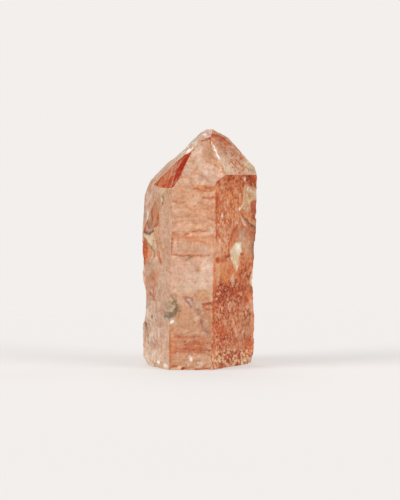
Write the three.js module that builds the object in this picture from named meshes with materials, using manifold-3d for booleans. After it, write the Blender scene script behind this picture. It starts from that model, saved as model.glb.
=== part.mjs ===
// A red lemurian quartz tower: one six-sided quartz crystal, sawn flat at the foot so that it stands alone.
// Millimetres, +Z up. The origin is where the crystal's axis meets the foot, and -Y is the front.
import * as THREE from "three";
import { mergeVertices } from "three/addons/utils/BufferGeometryUtils.js";
import Module from "manifold-3d";

const wasm = await Module();
wasm.setup();

// The rough block that the crystal is cut from. Its height is the height of the finished tower.
const HEIGHT = 100;
const BLOCK_WIDTH = 80;

// Quartz has six walls, 60 degrees apart, and a pyramid face above each. The crystal is turned a little.
const TURN = -3;
// reach: from the axis to the wall at the foot. lean: how far the wall tips back, in degrees.
// shoulder: the height where the wall ends and its pyramid face begins. rise: how far that face looks up.
const SIDES = [
  { name: "front", azimuth: -90, reach: 19.3, lean: 0.3, shoulder: 76.6, rise: 38.2 },
  { name: "right", azimuth: -30, reach: 14.6, lean: -1.0, shoulder: 80.7, rise: 32.6 },
  { name: "right back", azimuth: 30, reach: 24.6, lean: -0.8, shoulder: 84.0, rise: 41.9 },
  { name: "back", azimuth: 90, reach: 21.0, lean: 0.4, shoulder: 81.6, rise: 38.2 },
  { name: "left back", azimuth: 150, reach: 21.9, lean: -2.2, shoulder: 75.3, rise: 41.0 },
  { name: "left", azimuth: 210, reach: 19.9, lean: 1.2, shoulder: 75.3, rise: 38.2 },
];

// Small faces that were ground on the point. through: a spot on the face.
const GROUND = [
  { name: "ridge right of the front face", azimuth: -48.6, rise: 34.7, through: [7.2, -18.1, 78.1] },
  { name: "left flank", azimuth: 200, rise: 41.2, through: [-12.4, -2.2, 83.3] },
  { name: "lower left flank", azimuth: 201, rise: 6.4, through: [-20, -0.4, 70.2] },
  { name: "corner of the left flank", azimuth: 185, rise: 20.6, through: [-20.3, 6, 79.4] },
  { name: "front of the tip", azimuth: 257.5, rise: 56.4, through: [4.4, -3.5, 96.5] },
  { name: "back of the tip", azimuth: 75, rise: 67, through: [6, 2.2, 99.7] },
  { name: "left of the tip", azimuth: 163, rise: 50.2, through: [-13.4, 7.7, 85.7] },
  { name: "top of the tip", azimuth: 185, rise: 62, through: [2.7, 1, 99.7] },
];

// Steps across the walls, where the crystal grew in shelves. Each one is deepest under its upper edge and
// runs out below it and towards both ends. height: its upper edge. from, to: its ends, from the wall's middle.
const STEPS = [
  { wall: "front", height: 75.4, from: -9, to: 8, tall: 3.2, deep: 0.3, slope: 0.8 },
  { wall: "front", height: 71.1, from: -14, to: 4, tall: 2.4, deep: 0.22, slope: -0.6 },
  { wall: "front", height: 66.8, from: -2, to: 9, tall: 2.6, deep: 0.2, slope: 1.5 },
  { wall: "front", height: 62.0, from: -12, to: 6, tall: 3.4, deep: 0.26, slope: -0.8 },
  { wall: "front", height: 57.6, from: -13, to: 9, tall: 2.2, deep: 0.34, slope: 0.6 },
  { wall: "front", height: 55.0, from: -7, to: 9, tall: 3.0, deep: 0.28, slope: -1.2 },
  { wall: "front", height: 48.0, from: -12, to: 5, tall: 3.6, deep: 0.26, slope: 0.4 },
  { wall: "front", height: 36.8, from: -3, to: 9, tall: 2.0, deep: 0.2, slope: 1.8 },
  { wall: "front", height: 32.0, from: 1, to: 9, tall: 1.8, deep: 0.26, slope: -1 },
  { wall: "front", height: 27.8, from: 0, to: 9, tall: 2.4, deep: 0.32, slope: 1.2 },
  { wall: "front", height: 17.4, from: -12, to: 3, tall: 2.2, deep: 0.2, slope: -0.5 },
  { wall: "front", height: 14.6, from: -10, to: 6, tall: 2.6, deep: 0.3, slope: 0.9 },
  { wall: "front", height: 11.3, from: -11, to: 4, tall: 2.4, deep: 0.26, slope: -0.7 },
  { wall: "front", height: 8.4, from: -6, to: 9, tall: 2.8, deep: 0.3, slope: 0.5 },
  { wall: "right", height: 73.5, from: -14, to: 2, tall: 3.0, deep: 0.24, slope: 0.8 },
  { wall: "right", height: 60.2, from: -14, to: 0, tall: 2.8, deep: 0.26, slope: -1.2 },
  { wall: "right", height: 46.4, from: -14, to: 3, tall: 2.6, deep: 0.4, slope: 0.8 },
  { wall: "right", height: 29.2, from: -14, to: 12, tall: 3.4, deep: 0.4, slope: -0.6 },
  { wall: "left", height: 60.5, from: -9, to: 7, tall: 2.8, deep: 0.24, slope: -1 },
  { wall: "left", height: 40.4, from: -6, to: 11, tall: 3.2, deep: 0.22, slope: 1.2 },
  { wall: "left", height: 19.8, from: -10, to: 8, tall: 3.0, deep: 0.28, slope: -0.6 },
  { wall: "right back", height: 68.4, from: -8, to: 14, tall: 3.2, deep: 0.34, slope: 0.7 },
  { wall: "right back", height: 52.6, from: -12, to: 9, tall: 3.6, deep: 0.3, slope: -0.5 },
  { wall: "right back", height: 33.5, from: -3, to: 14, tall: 2.6, deep: 0.36, slope: 1.1 },
  { wall: "back", height: 70.2, from: -13, to: 9, tall: 3.0, deep: 0.32, slope: -0.6 },
  { wall: "back", height: 61.7, from: -9, to: 13, tall: 2.4, deep: 0.26, slope: 0.9 },
  { wall: "back", height: 55.1, from: -13, to: 5, tall: 3.4, deep: 0.3, slope: 0.4 },
  { wall: "back", height: 44.0, from: -6, to: 13, tall: 2.6, deep: 0.34, slope: -0.8 },
  { wall: "back", height: 36.3, from: -13, to: 11, tall: 3.0, deep: 0.24, slope: 0.5 },
  { wall: "back", height: 22.5, from: -10, to: 12, tall: 3.2, deep: 0.3, slope: -0.4 },
  { wall: "back", height: 12.0, from: -13, to: 3, tall: 2.4, deep: 0.28, slope: 0.8 },
  { wall: "left back", height: 66.0, from: -10, to: 7, tall: 3.0, deep: 0.3, slope: 0.6 },
  { wall: "left back", height: 51.8, from: -7, to: 10, tall: 2.6, deep: 0.34, slope: -0.9 },
  { wall: "left back", height: 25.4, from: -11, to: 8, tall: 3.4, deep: 0.28, slope: 0.5 },
];

// The flat floor of a step is this share of its length. Its upper edge slopes in over this many depths.
const STEP_FLOOR = 0.5;
const STEP_EDGE_RUN = 1.3;
// How far the cutting shape of a step stands out of the wall.
const STEP_CLEARANCE = 1;

// Shell-shaped chips on the walls. along: from the wall's middle, to the right as one looks at the wall.
// spin turns the chip on the wall, and tilt makes it deeper towards its top when it is positive.
const WALL_CHIPS = [
  // Glassy chip under the right shoulder.
  { wall: "right", along: 14.8, height: 70.2, wide: 11, tall: 13.5, deep: 1.0, spin: 8 },
  // Dark ledge over the large chip.
  { wall: "right", along: 12.8, height: 63.6, wide: 15, tall: 6.4, deep: 0.8, spin: -33, tilt: 10 },
  // Large smooth chip.
  { wall: "right", along: 7.8, height: 53.8, wide: 16.6, tall: 15, deep: 1.2, spin: -38, tilt: 8 },
  // Bright flake under the large chip.
  { wall: "right", along: 5.0, height: 46.6, wide: 6.8, tall: 12.4, deep: 1.25, spin: -32, tilt: -12 },
  // Small flake.
  { wall: "right", along: 2.3, height: 35.8, wide: 4.4, tall: 8, deep: 0.8, spin: -18 },
  // Hollow in the orange patch.
  { wall: "right", along: -4.2, height: 41.4, wide: 9.5, tall: 8, deep: 0.5, spin: 20 },
  // Shallow chip on the lower right.
  { wall: "right", along: 13.6, height: 30.5, wide: 9, tall: 15, deep: 0.9, spin: 6 },
  // Chip at the middle of the right wall.
  { wall: "right", along: 3.4, height: 21.5, wide: 14, tall: 9, deep: 0.8, spin: 12 },
  // Low chip by the right edge.
  { wall: "right", along: 14.4, height: 10.5, wide: 8, tall: 11, deep: 0.8, spin: -10 },
  // Long chip on the left edge.
  { wall: "left", along: -10.0, height: 51.4, wide: 11.4, tall: 14.5, deep: 1.35, spin: 34, tilt: 8 },
  // Hollow under it.
  { wall: "left", along: -3.2, height: 50.6, wide: 4.6, tall: 13, deep: 0.5, spin: 20 },
  // Lower left chip.
  { wall: "left", along: -7.6, height: 32, wide: 9.4, tall: 8.6, deep: 1.0, spin: 18, tilt: 6 },
  // Small dark pit.
  { wall: "left", along: 1.7, height: 71, wide: 2.2, tall: 4.4, deep: 0.7, spin: 6 },
  // Slot near the foot.
  { wall: "left", along: -9.3, height: 14.6, wide: 2.8, tall: 7.6, deep: 0.7, spin: -10 },
  // Shallow dish.
  { wall: "left", along: 4.2, height: 9.2, wide: 7.2, tall: 6, deep: 0.45, spin: 30 },
  // Pink pit, upper end.
  { wall: "front", along: -3.5, height: 28.4, wide: 3.4, tall: 4.6, deep: 0.75, spin: 40 },
  // Pink pit, middle.
  { wall: "front", along: -1.6, height: 26.4, wide: 2.6, tall: 3.4, deep: 0.6, spin: 50 },
  // Pink pit, lower end.
  { wall: "front", along: 0.6, height: 24.7, wide: 2.6, tall: 2, deep: 0.5, spin: 10 },
  // Curved crack, upper end.
  { wall: "front", along: 1.5, height: 20.4, wide: 0.9, tall: 4, deep: 0.4, spin: 6 },
  // Curved crack, lower end.
  { wall: "front", along: 3.0, height: 17, wide: 0.9, tall: 5, deep: 0.4, spin: 34 },
  // Tan pit.
  { wall: "front", along: 0.4, height: 42.3, wide: 2.2, tall: 1.8, deep: 0.4, spin: 0 },
  // Low chip on the front.
  { wall: "front", along: -2.9, height: 5.4, wide: 3.2, tall: 3, deep: 0.5, spin: 20 },
  // Lower chip on the front.
  { wall: "front", along: 1, height: 2.6, wide: 3.6, tall: 2.4, deep: 0.5, spin: -15 },
  // Broad chip.
  { wall: "right back", along: -4.5, height: 41, wide: 15, tall: 20, deep: 1.7, spin: 24, tilt: 6 },
  // Chip above it.
  { wall: "right back", along: 1.5, height: 61.5, wide: 9.5, tall: 8, deep: 0.9, spin: -20, tilt: 6 },
  // Low chip.
  { wall: "right back", along: 7, height: 15, wide: 11, tall: 12, deep: 1.1, spin: 15 },
  // Dish on the back.
  { wall: "back", along: 3.2, height: 49, wide: 10, tall: 7.6, deep: 0.8, spin: -26, tilt: 8 },
  // Pit on the back.
  { wall: "back", along: -7.6, height: 28.6, wide: 5.2, tall: 8.4, deep: 1.1, spin: 12 },
  // Low dish on the back.
  { wall: "back", along: 6.8, height: 8.4, wide: 12, tall: 8.6, deep: 0.9, spin: 8 },
  // Long chip on the left back.
  { wall: "left back", along: 2.2, height: 40.5, wide: 10.5, tall: 17, deep: 1.3, spin: -28, tilt: 8 },
  // High chip on the left back.
  { wall: "left back", along: -6.5, height: 64, wide: 7, tall: 9, deep: 0.9, spin: 30 },
];

// Chips across an edge or on the point. at: a spot on the edge. azimuth, rise: the way the chip faces.
const EDGE_CHIPS = [
  // Pit with the golden rim.
  { at: [-11.6, -18.6, 27], azimuth: 248, rise: 10, wide: 5.4, tall: 9, deep: 1.2, spin: -10 },
  // Dark floor of that pit.
  { at: [-12.4, -18.3, 21.8], azimuth: 246, rise: 8, wide: 6.8, tall: 4.2, deep: 1.4, spin: -6 },
  // Bright chip above the red face.
  { at: [-4.2, -4.6, 91.9], azimuth: 225, rise: 34, wide: 6, tall: 10, deep: 1.1, spin: -38 },
  // Notch on the left edge.
  { at: [-23.4, 3.2, 27.4], azimuth: 178, rise: 0, wide: 10, tall: 17, deep: 1.15, spin: 0 },
  // Notch on the right edge.
  { at: [23.6, 7.9, 27], azimuth: -2, rise: 0, wide: 9, tall: 15, deep: 1.0, spin: 0 },
  // Chip on the right edge above it.
  { at: [23.9, 8, 38.5], azimuth: -4, rise: 2, wide: 5, tall: 8, deep: 0.35, spin: 0 },
  // Low chip on the right edge.
  { at: [23.3, 7.7, 13], azimuth: -4, rise: -3, wide: 6, tall: 9, deep: 0.4, spin: 0 },
  // Worn corner of the foot.
  { at: [23.1, 7.2, 2], azimuth: -12, rise: -28, wide: 13, tall: 11, deep: 1.7, spin: 0 },
  // Worn corner of the foot, left.
  { at: [-23.8, 1.6, 0.6], azimuth: 186, rise: -30, wide: 19, tall: 8, deep: 2.0, spin: 0 },
  // Chip on the front edge.
  { at: [6.4, -19.4, 46.6], azimuth: -63, rise: 0, wide: 1.7, tall: 5, deep: 0.45, spin: 0 },
  // Chip under the front shoulder.
  { at: [7.2, -18.7, 79], azimuth: -70, rise: 20, wide: 3, tall: 3.4, deep: 0.5, spin: 0 },
  // Chip on the back edge.
  { at: [10.2, 20.6, 57], azimuth: 60, rise: 0, wide: 4, tall: 12, deep: 1.1, spin: 0 },
  // Hollow left of the tip.
  { at: [-7.6, 8.6, 90], azimuth: 166, rise: 48, wide: 16, tall: 10, deep: 0.8, spin: 0 },
  // Chip behind the tip.
  { at: [5.4, 9, 97], azimuth: 82, rise: 54, wide: 6, tall: 4, deep: 0.5, spin: 15 },
  // Chip on the back shoulder.
  { at: [-6, 20.1, 82.4], azimuth: 100, rise: 26, wide: 10, tall: 6, deep: 1.1, spin: -8 },
];

// Where the surface is rough, small chips crowd together. Their places and sizes are drawn from these ranges.
const ROUGH_PATCHES = [
  { wall: "right", count: 34, along: [-11, 15], height: [4, 40], size: [2.2, 6.5], deep: [0.3, 0.7] },
  { wall: "right", count: 8, along: [8, 18], height: [74, 79], size: [1.6, 3.6], deep: [0.25, 0.5] },
  { wall: "right back", count: 14, along: [-12, 12], height: [3, 30], size: [2.4, 6.5], deep: [0.3, 0.7] },
  { wall: "left back", count: 9, along: [-10, 9], height: [3, 20], size: [2.4, 6], deep: [0.3, 0.6] },
  { wall: "left", count: 8, along: [-11, 2], height: [2, 22], size: [1.8, 4.5], deep: [0.25, 0.5] },
  { wall: "back", count: 6, along: [-11, 11], height: [2, 16], size: [2.2, 5], deep: [0.25, 0.5] },
];
const EDGE_NICKS_EACH = 3;
const FOOT_NICKS_EACH = 3;
const FOOT_NICK_TILT = -25;

// A shell-shaped chip is the part of an ellipsoid that lies under the surface. Its rim is at this share of the
// ellipsoid's half width, because the ellipsoid's centre is as far above the surface as the chip is deep.
const RIM_SHARE = Math.sqrt(0.75);
// The ellipsoid's facets get finer by one step for every so many millimetres. Rough places stay angular.
const MM_PER_DETAIL = 5.5;
const ROUGH_DETAIL = 0;
// How far the rim swings in and out, as a share of its width.
const WAVINESS = 0.07;
const ROUGH_WAVINESS = 0.14;
// A chip over this size came off in two strokes. The second is this share of the first, set aside and turned.
const TWO_STROKES_FROM = 7.5;
const SECOND_STROKE = { wide: 0.6, tall: 0.56, deep: 0.95, aside: 0.3, up: 0.3, turn: 40 };

const radians = THREE.MathUtils.degToRad;
const UP = new THREE.Vector3(0, 0, 1);

// The same numbers on every run, between 0 and 1.
let seed = 20;
function random() {
  seed = (seed * 16807) % 2147483647;
  return seed / 2147483647;
}

function between(range) {
  return range[0] + (range[1] - range[0]) * random();
}

// A direction from its turn round the axis, in degrees from +X, and how far it looks up.
function outward(azimuth, rise) {
  const level = Math.cos(radians(rise));
  return new THREE.Vector3(
    Math.cos(radians(azimuth)) * level,
    Math.sin(radians(azimuth)) * level,
    Math.sin(radians(rise)),
  );
}

function sideNamed(name) {
  return SIDES.find((side) => side.name === name);
}

// How far the wall is from the axis at a height.
function reachAt(side, height) {
  return side.reach - Math.tan(radians(side.lean)) * height;
}

// The planes of a wall, of the pyramid face above it, and of a ground face.
function wallPlane(side) {
  const foot = outward(side.azimuth + TURN, 0).multiplyScalar(side.reach);
  return new THREE.Plane().setFromNormalAndCoplanarPoint(outward(side.azimuth + TURN, side.lean), foot);
}

function pyramidPlane(side) {
  const shoulder = outward(side.azimuth + TURN, 0).multiplyScalar(reachAt(side, side.shoulder));
  shoulder.z = side.shoulder;
  return new THREE.Plane().setFromNormalAndCoplanarPoint(outward(side.azimuth + TURN, side.rise), shoulder);
}

function groundPlane(facet) {
  const spot = new THREE.Vector3(...facet.through);
  return new THREE.Plane().setFromNormalAndCoplanarPoint(outward(facet.azimuth, facet.rise), spot);
}

// A frame on the surface: X to the right as one looks at it, Y up, Z straight out of the stone.
function frameFacing(normal, spot) {
  const across = new THREE.Vector3().crossVectors(UP, normal).normalize();
  const upward = new THREE.Vector3().crossVectors(normal, across);
  return new THREE.Matrix4().makeBasis(across, upward, normal).setPosition(spot);
}

function frameOnWall(side, along, height) {
  const level = outward(side.azimuth + TURN, 0);
  const across = new THREE.Vector3().crossVectors(UP, level);
  const spot = level.multiplyScalar(reachAt(side, height)).addScaledVector(across, along);
  spot.z = height;
  return frameFacing(outward(side.azimuth + TURN, side.lean), spot);
}

// A frame on the edge between a wall and the next one, facing halfway between them.
function frameOnEdge(side, next, height) {
  const a = outward(side.azimuth + TURN, 0);
  const b = outward(next.azimuth + TURN, 0);
  const determinant = a.x * b.y - a.y * b.x;
  const reachA = reachAt(side, height);
  const reachB = reachAt(next, height);
  const spot = new THREE.Vector3(
    (reachA * b.y - reachB * a.y) / determinant,
    (reachB * a.x - reachA * b.x) / determinant,
    height,
  );
  return frameFacing(a.add(b).normalize(), spot);
}

function solidOf(geometry) {
  const bare = geometry.clone();
  bare.deleteAttribute("normal");
  bare.deleteAttribute("uv");
  const merged = mergeVertices(bare, 1e-4);
  return new wasm.Manifold(
    new wasm.Mesh({
      numProp: 3,
      vertProperties: merged.attributes.position.array,
      triVerts: new Uint32Array(merged.index.array),
    }),
  );
}

function geometryOf(solid) {
  const mesh = solid.getMesh();
  const indexed = new THREE.BufferGeometry();
  indexed.setAttribute("position", new THREE.BufferAttribute(mesh.vertProperties, 3));
  indexed.setIndex(new THREE.BufferAttribute(mesh.triVerts, 1));
  const flat = indexed.toNonIndexed();
  flat.computeVertexNormals();
  return flat;
}

// Everything on the outer side of a plane, as a box to cut away.
function beyond(plane) {
  const size = 4 * HEIGHT;
  const box = new THREE.BoxGeometry(size, size, size).translate(0, 0, size / 2);
  box.applyQuaternion(new THREE.Quaternion().setFromUnitVectors(UP, plane.normal));
  const onPlane = plane.coplanarPoint(new THREE.Vector3());
  return solidOf(box.translate(onPlane.x, onPlane.y, onPlane.z));
}

// A growth step: a box whose eight corners are moved, so that its floor tilts and its ends slope in.
function stepCut(step) {
  const side = sideNamed(step.wall);
  const half = (step.to - step.from) / 2;
  const endSlope = (half * (1 - STEP_FLOOR)) / step.deep;
  const wedge = new THREE.BoxGeometry(2, 2, 2);
  const corners = wedge.attributes.position;
  for (let i = 0; i < corners.count; i += 1) {
    const end = Math.sign(corners.getX(i));
    const upper = corners.getY(i) > 0;
    const outer = corners.getZ(i) > 0;
    const out = outer ? STEP_CLEARANCE : upper ? -step.deep : 0;
    const reach = outer ? half + STEP_CLEARANCE * endSlope : half * STEP_FLOOR;
    corners.setXYZ(i, end * reach, upper ? out * STEP_EDGE_RUN : -step.tall, out);
  }
  wedge.rotateZ(radians(step.slope));
  wedge.applyMatrix4(frameOnWall(side, (step.from + step.to) / 2, step.height));
  return solidOf(wedge);
}

// A shell-shaped chip: an ellipsoid with a lobed rim, sunk in the surface until its rim has the chip's size.
function chipCut(frame, chip, detail, waviness) {
  const ball = new THREE.IcosahedronGeometry(1, detail);
  const points = ball.attributes.position;
  const spot = new THREE.Vector3();
  const phase = 10 * (chip.wide + chip.tall + chip.spin);
  for (let i = 0; i < points.count; i += 1) {
    spot.fromBufferAttribute(points, i);
    const around = Math.atan2(spot.y, spot.x);
    const broad = Math.sin(2 * around + phase) + Math.sin(3 * around - phase);
    const fine = Math.sin(5 * around + 2 * phase) / 2;
    spot.multiplyScalar(1 + waviness * (broad + fine) * (1 - spot.z * spot.z));
    points.setXYZ(i, spot.x, spot.y, spot.z);
  }
  ball.scale(chip.wide / 2 / RIM_SHARE, chip.tall / 2 / RIM_SHARE, 2 * chip.deep);
  ball.translate(0, 0, chip.deep);
  ball.rotateX(radians(chip.tilt ?? 0));
  ball.rotateZ(radians(chip.spin));
  ball.applyMatrix4(frame);
  return solidOf(ball);
}

// A single chip where it is small, and two overlapping ones where it is large.
function shellChipCut(frame, chip) {
  const size = Math.max(chip.wide, chip.tall);
  const detail = Math.max(1, Math.round(size / MM_PER_DETAIL));
  const first = chipCut(frame, chip, detail, WAVINESS);
  if (size < TWO_STROKES_FROM) {
    return first;
  }
  const aside = new THREE.Vector3(SECOND_STROKE.aside * chip.wide, SECOND_STROKE.up * chip.tall, 0);
  const turned = new THREE.Matrix4().makeRotationZ(radians(chip.spin));
  const shifted = new THREE.Matrix4().makeTranslation(aside.applyMatrix4(turned));
  const second = {
    wide: chip.wide * SECOND_STROKE.wide,
    tall: chip.tall * SECOND_STROKE.tall,
    deep: chip.deep * SECOND_STROKE.deep,
    spin: chip.spin + SECOND_STROKE.turn,
  };
  return first.add(chipCut(frame.clone().multiply(shifted), second, 1, WAVINESS));
}

let stone = solidOf(
  new THREE.BoxGeometry(BLOCK_WIDTH, BLOCK_WIDTH, HEIGHT).translate(0, 0, HEIGHT / 2),
);
for (const side of SIDES) {
  stone = stone.subtract(beyond(wallPlane(side)));
  stone = stone.subtract(beyond(pyramidPlane(side)));
}
for (const facet of GROUND) {
  stone = stone.subtract(beyond(groundPlane(facet)));
}
for (const step of STEPS) {
  stone = stone.subtract(stepCut(step));
}

for (const chip of WALL_CHIPS) {
  const frame = frameOnWall(sideNamed(chip.wall), chip.along, chip.height);
  stone = stone.subtract(shellChipCut(frame, chip));
}
for (const chip of EDGE_CHIPS) {
  const frame = frameFacing(outward(chip.azimuth, chip.rise), new THREE.Vector3(...chip.at));
  stone = stone.subtract(shellChipCut(frame, chip));
}

for (const patch of ROUGH_PATCHES) {
  for (let i = 0; i < patch.count; i += 1) {
    const frame = frameOnWall(sideNamed(patch.wall), between(patch.along), between(patch.height));
    const wide = between(patch.size);
    const chip = {
      wide,
      tall: wide * between([0.6, 1.4]),
      deep: between(patch.deep),
      spin: between([-60, 60]),
      tilt: between([-12, 12]),
    };
    stone = stone.subtract(chipCut(frame, chip, ROUGH_DETAIL, ROUGH_WAVINESS));
  }
}

// Nicks along the six upright edges, and round the foot.
SIDES.forEach((side, i) => {
  const next = SIDES[(i + 1) % SIDES.length];
  const top = Math.min(side.shoulder, next.shoulder) - 4;
  for (let k = 0; k < EDGE_NICKS_EACH; k += 1) {
    const height = between([3, top]);
    const chip = {
      wide: between([1.6, 3.4]),
      tall: between([2, 6]),
      deep: between([0.3, 0.6]),
      spin: between([-12, 12]),
    };
    stone = stone.subtract(chipCut(frameOnEdge(side, next, height), chip, ROUGH_DETAIL, ROUGH_WAVINESS));
  }
  for (let k = 0; k < FOOT_NICKS_EACH; k += 1) {
    const frame = frameOnWall(side, between([-10, 10]), 0);
    const chip = {
      wide: between([2.5, 6]),
      tall: between([1.6, 3]),
      deep: between([0.3, 0.6]),
      spin: 0,
      tilt: FOOT_NICK_TILT,
    };
    stone = stone.subtract(chipCut(frame, chip, ROUGH_DETAIL, ROUGH_WAVINESS));
  }
});

const tower = new THREE.Mesh(
  geometryOf(stone),
  new THREE.MeshStandardMaterial({ color: 0xcf9a78, roughness: 0.35, metalness: 0 }),
);
tower.name = "quartz_tower";

const group = new THREE.Group();
group.add(tower);
export default group;
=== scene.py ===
"""The looks of the red lemurian quartz tower: its fine surface, iron stains, cloudy stone, stage and camera.

The script works in millimetres on the stone and writes metres into the meshes.
"""

import logging
import math
from dataclasses import dataclass, field, fields
from enum import Enum

import bmesh
import bpy
import numpy as np
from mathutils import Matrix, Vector


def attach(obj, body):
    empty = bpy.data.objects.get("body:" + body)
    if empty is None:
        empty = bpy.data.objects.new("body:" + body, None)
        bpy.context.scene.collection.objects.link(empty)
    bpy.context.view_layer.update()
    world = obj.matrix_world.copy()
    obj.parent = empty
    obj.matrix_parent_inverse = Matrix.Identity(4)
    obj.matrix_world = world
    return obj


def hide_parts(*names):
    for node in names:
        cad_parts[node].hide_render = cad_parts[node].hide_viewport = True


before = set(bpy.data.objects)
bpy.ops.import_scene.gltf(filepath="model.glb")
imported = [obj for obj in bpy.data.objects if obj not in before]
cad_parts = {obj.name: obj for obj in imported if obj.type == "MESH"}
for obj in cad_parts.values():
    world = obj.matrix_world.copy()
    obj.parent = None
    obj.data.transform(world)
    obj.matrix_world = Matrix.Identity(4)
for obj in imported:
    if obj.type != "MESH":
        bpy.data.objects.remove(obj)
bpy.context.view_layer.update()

NODE = "quartz_tower"
BODY = "root"
MM = 0.001
SEED = 20
# The furthest that the rim of a patch, of a flake and of a streak wanders, in millimetres to a unit of drift.
PATCH_WANDER = 1.6
FLAKE_WANDER = 0.35
STREAK_WANDER = 0.55

log = logging.getLogger("scene")

Array = np.ndarray
Colour = tuple[float, float, float, float]


def linear(value: str) -> Colour:
    """Turns an sRGB hex colour to linear light.

    Args:
        value: The colour, as "#rrggbb".

    Returns:
        Red, green, blue and an alpha of 1, linear.
    """
    channels = [int(value[i : i + 2], 16) / 255 for i in (1, 3, 5)]
    red, green, blue = (float(c) for c in light_of(np.array(channels)))
    return red, green, blue, 1.0


def light_of(srgb: Array) -> Array:
    """Turns sRGB values between 0 and 1 to linear light."""
    return np.where(srgb <= 0.04045, srgb / 12.92, ((srgb + 0.055) / 1.055) ** 2.4)


def ease(values: Array, start: float, end: float) -> Array:
    """Rises smoothly from 0 at start to 1 at end."""
    share = np.clip((values - start) / (end - start), 0, 1)
    return share * share * (3 - 2 * share)


def add_node(
    tree: bpy.types.NodeTree,
    kind: str,
    inputs: dict[str | int, object] | None = None,
    **settings: object,
) -> bpy.types.Node:
    """Adds a node with its settings and links.

    Args:
        tree: The tree that gets the node.
        kind: The node's type name.
        inputs: By name or index, a socket to link from or a value to set.
        settings: The node's own properties.

    Returns:
        The new node.
    """
    node = tree.nodes.new(kind)
    for name, value in settings.items():
        setattr(node, name, value)
    for key, value in (inputs or {}).items():
        if isinstance(value, bpy.types.NodeSocket):
            tree.links.new(value, node.inputs[key])
        else:
            node.inputs[key].default_value = value
    return node


class LatticeNoise:
    """Smooth noise between 0 and 1, from random values at the points of turned lattices.

    Each finer layer of it is fainter by FADE, and moved by SHIFT so that no two layers line up.
    """

    FADE: float = 0.6
    SHIFT: float = 17.3

    def __init__(self, seed: int) -> None:
        """Draws the lattice's values and turns.

        Args:
            seed: The fixed seed of the draw.
        """
        draw = np.random.default_rng(seed)
        self.order = draw.permutation(256)
        self.values = draw.random(256)
        self.turns = [np.linalg.qr(draw.normal(size=(3, 3)))[0] for _ in range(4)]

    def at(self, spots: Array) -> Array:
        """Reads the noise at some spots, one wave to a unit.

        Args:
            spots: Points, one to a row.

        Returns:
            One value between 0 and 1 for each spot.
        """
        base = np.floor(spots).astype(int)
        share = spots - base
        share = share * share * (3 - 2 * share)
        total = np.zeros(len(spots))
        for corner in range(8):
            step = np.array([corner & 1, corner >> 1 & 1, corner >> 2 & 1])
            x, y, z = ((base + step) & 255).T
            value = self.values[self.order[(self.order[(self.order[x] + y) & 255] + z) & 255]]
            total += value * np.prod(np.where(step, share, 1 - share), axis=1)
        return total

    def layered(self, spots: Array, size: float, layers: int = 3) -> Array:
        """Adds ever finer and fainter waves.

        Args:
            spots: Points, one to a row.
            size: The width of the widest wave.
            layers: How many sizes of wave are added, each half as wide as the last.

        Returns:
            One value between 0 and 1 for each spot.
        """
        total = np.zeros(len(spots))
        weight, whole = 1.0, 0.0
        for layer in range(layers):
            turn = self.turns[layer % len(self.turns)]
            total += weight * self.at(spots @ turn * (2**layer / size) + self.SHIFT * layer)
            whole += weight
            weight *= self.FADE
        return total / whole


def turned(place: Array, degrees: float) -> tuple[Array, Array]:
    """Reads places on a face along axes that are turned on it.

    Args:
        place: Across and upward in millimetres, one row to a point.
        degrees: The turn from level.

    Returns:
        How far each point lies along the turned level axis, and along the turned upward one.
    """
    turn = math.radians(degrees)
    level = place[:, 0] * math.cos(turn) + place[:, 1] * math.sin(turn)
    upward = place[:, 1] * math.cos(turn) - place[:, 0] * math.sin(turn)
    return level, upward


def gap_to_run(place: Array, start: tuple[float, float], end: tuple[float, float]) -> Array:
    """Measures how far places on a face lie from a straight run between two others.

    Args:
        place: Across and upward in millimetres, one row to a point.
        start: One end of the run.
        end: Its other end.

    Returns:
        One distance for each point, in millimetres.
    """
    run = np.subtract(end, start)
    away = place - start
    share = np.clip(away @ run / (run @ run), 0, 1)
    return np.hypot(*(away - share[:, None] * run).T)


@dataclass
class Veils:
    """The noise over the points of one face, and the points' places on the face, in millimetres."""

    spots: Array
    place: Array
    drift: Array = field(init=False)
    known: dict[tuple[int, float, int], Array] = field(default_factory=dict)

    def __post_init__(self) -> None:
        """Works out how far the rims of stains wander."""
        broad = np.column_stack([self.noise(seed, 4.0, 3) for seed in (1, 2)]) * 2 - 1
        fine = np.column_stack([self.noise(seed, 1.3, 2) for seed in (3, 4)]) * 2 - 1
        self.drift = 0.9 * broad + 0.8 * fine

    def noise(self, seed: int, size: float, layers: int = 2) -> Array:
        """Gives smooth noise over the points, worked out once.

        Args:
            seed: Which noise.
            size: The width of its widest wave, in millimetres.
            layers: How many sizes of wave it has.

        Returns:
            One value between 0 and 1 for each point.
        """
        key = (seed, size, layers)
        if key not in self.known:
            self.known[key] = LatticeNoise(SEED + seed).layered(self.spots, size, layers)
        return self.known[key]

    def fibres(self, seed: int, long: float, thin: float, turn: float = 0) -> Array:
        """Gives noise drawn out into fibres.

        Args:
            seed: Which fibres.
            long: A fibre's length, in millimetres.
            thin: Its width, in millimetres.
            turn: Its turn from level, in degrees.

        Returns:
            One value between 0 and 1 for each point.
        """
        level, upward = turned(self.place, turn)
        bent = upward + 0.8 * (self.noise(seed + 50, 5.0) - 0.5)
        lattice = LatticeNoise(SEED + seed)
        flat = np.column_stack([level / long, bent / thin, np.full(len(level), 0.37 * seed)])
        return 0.6 * lattice.at(flat) + 0.4 * lattice.at(flat * (1.7, 2.1, 1) + 9.1)


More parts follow.
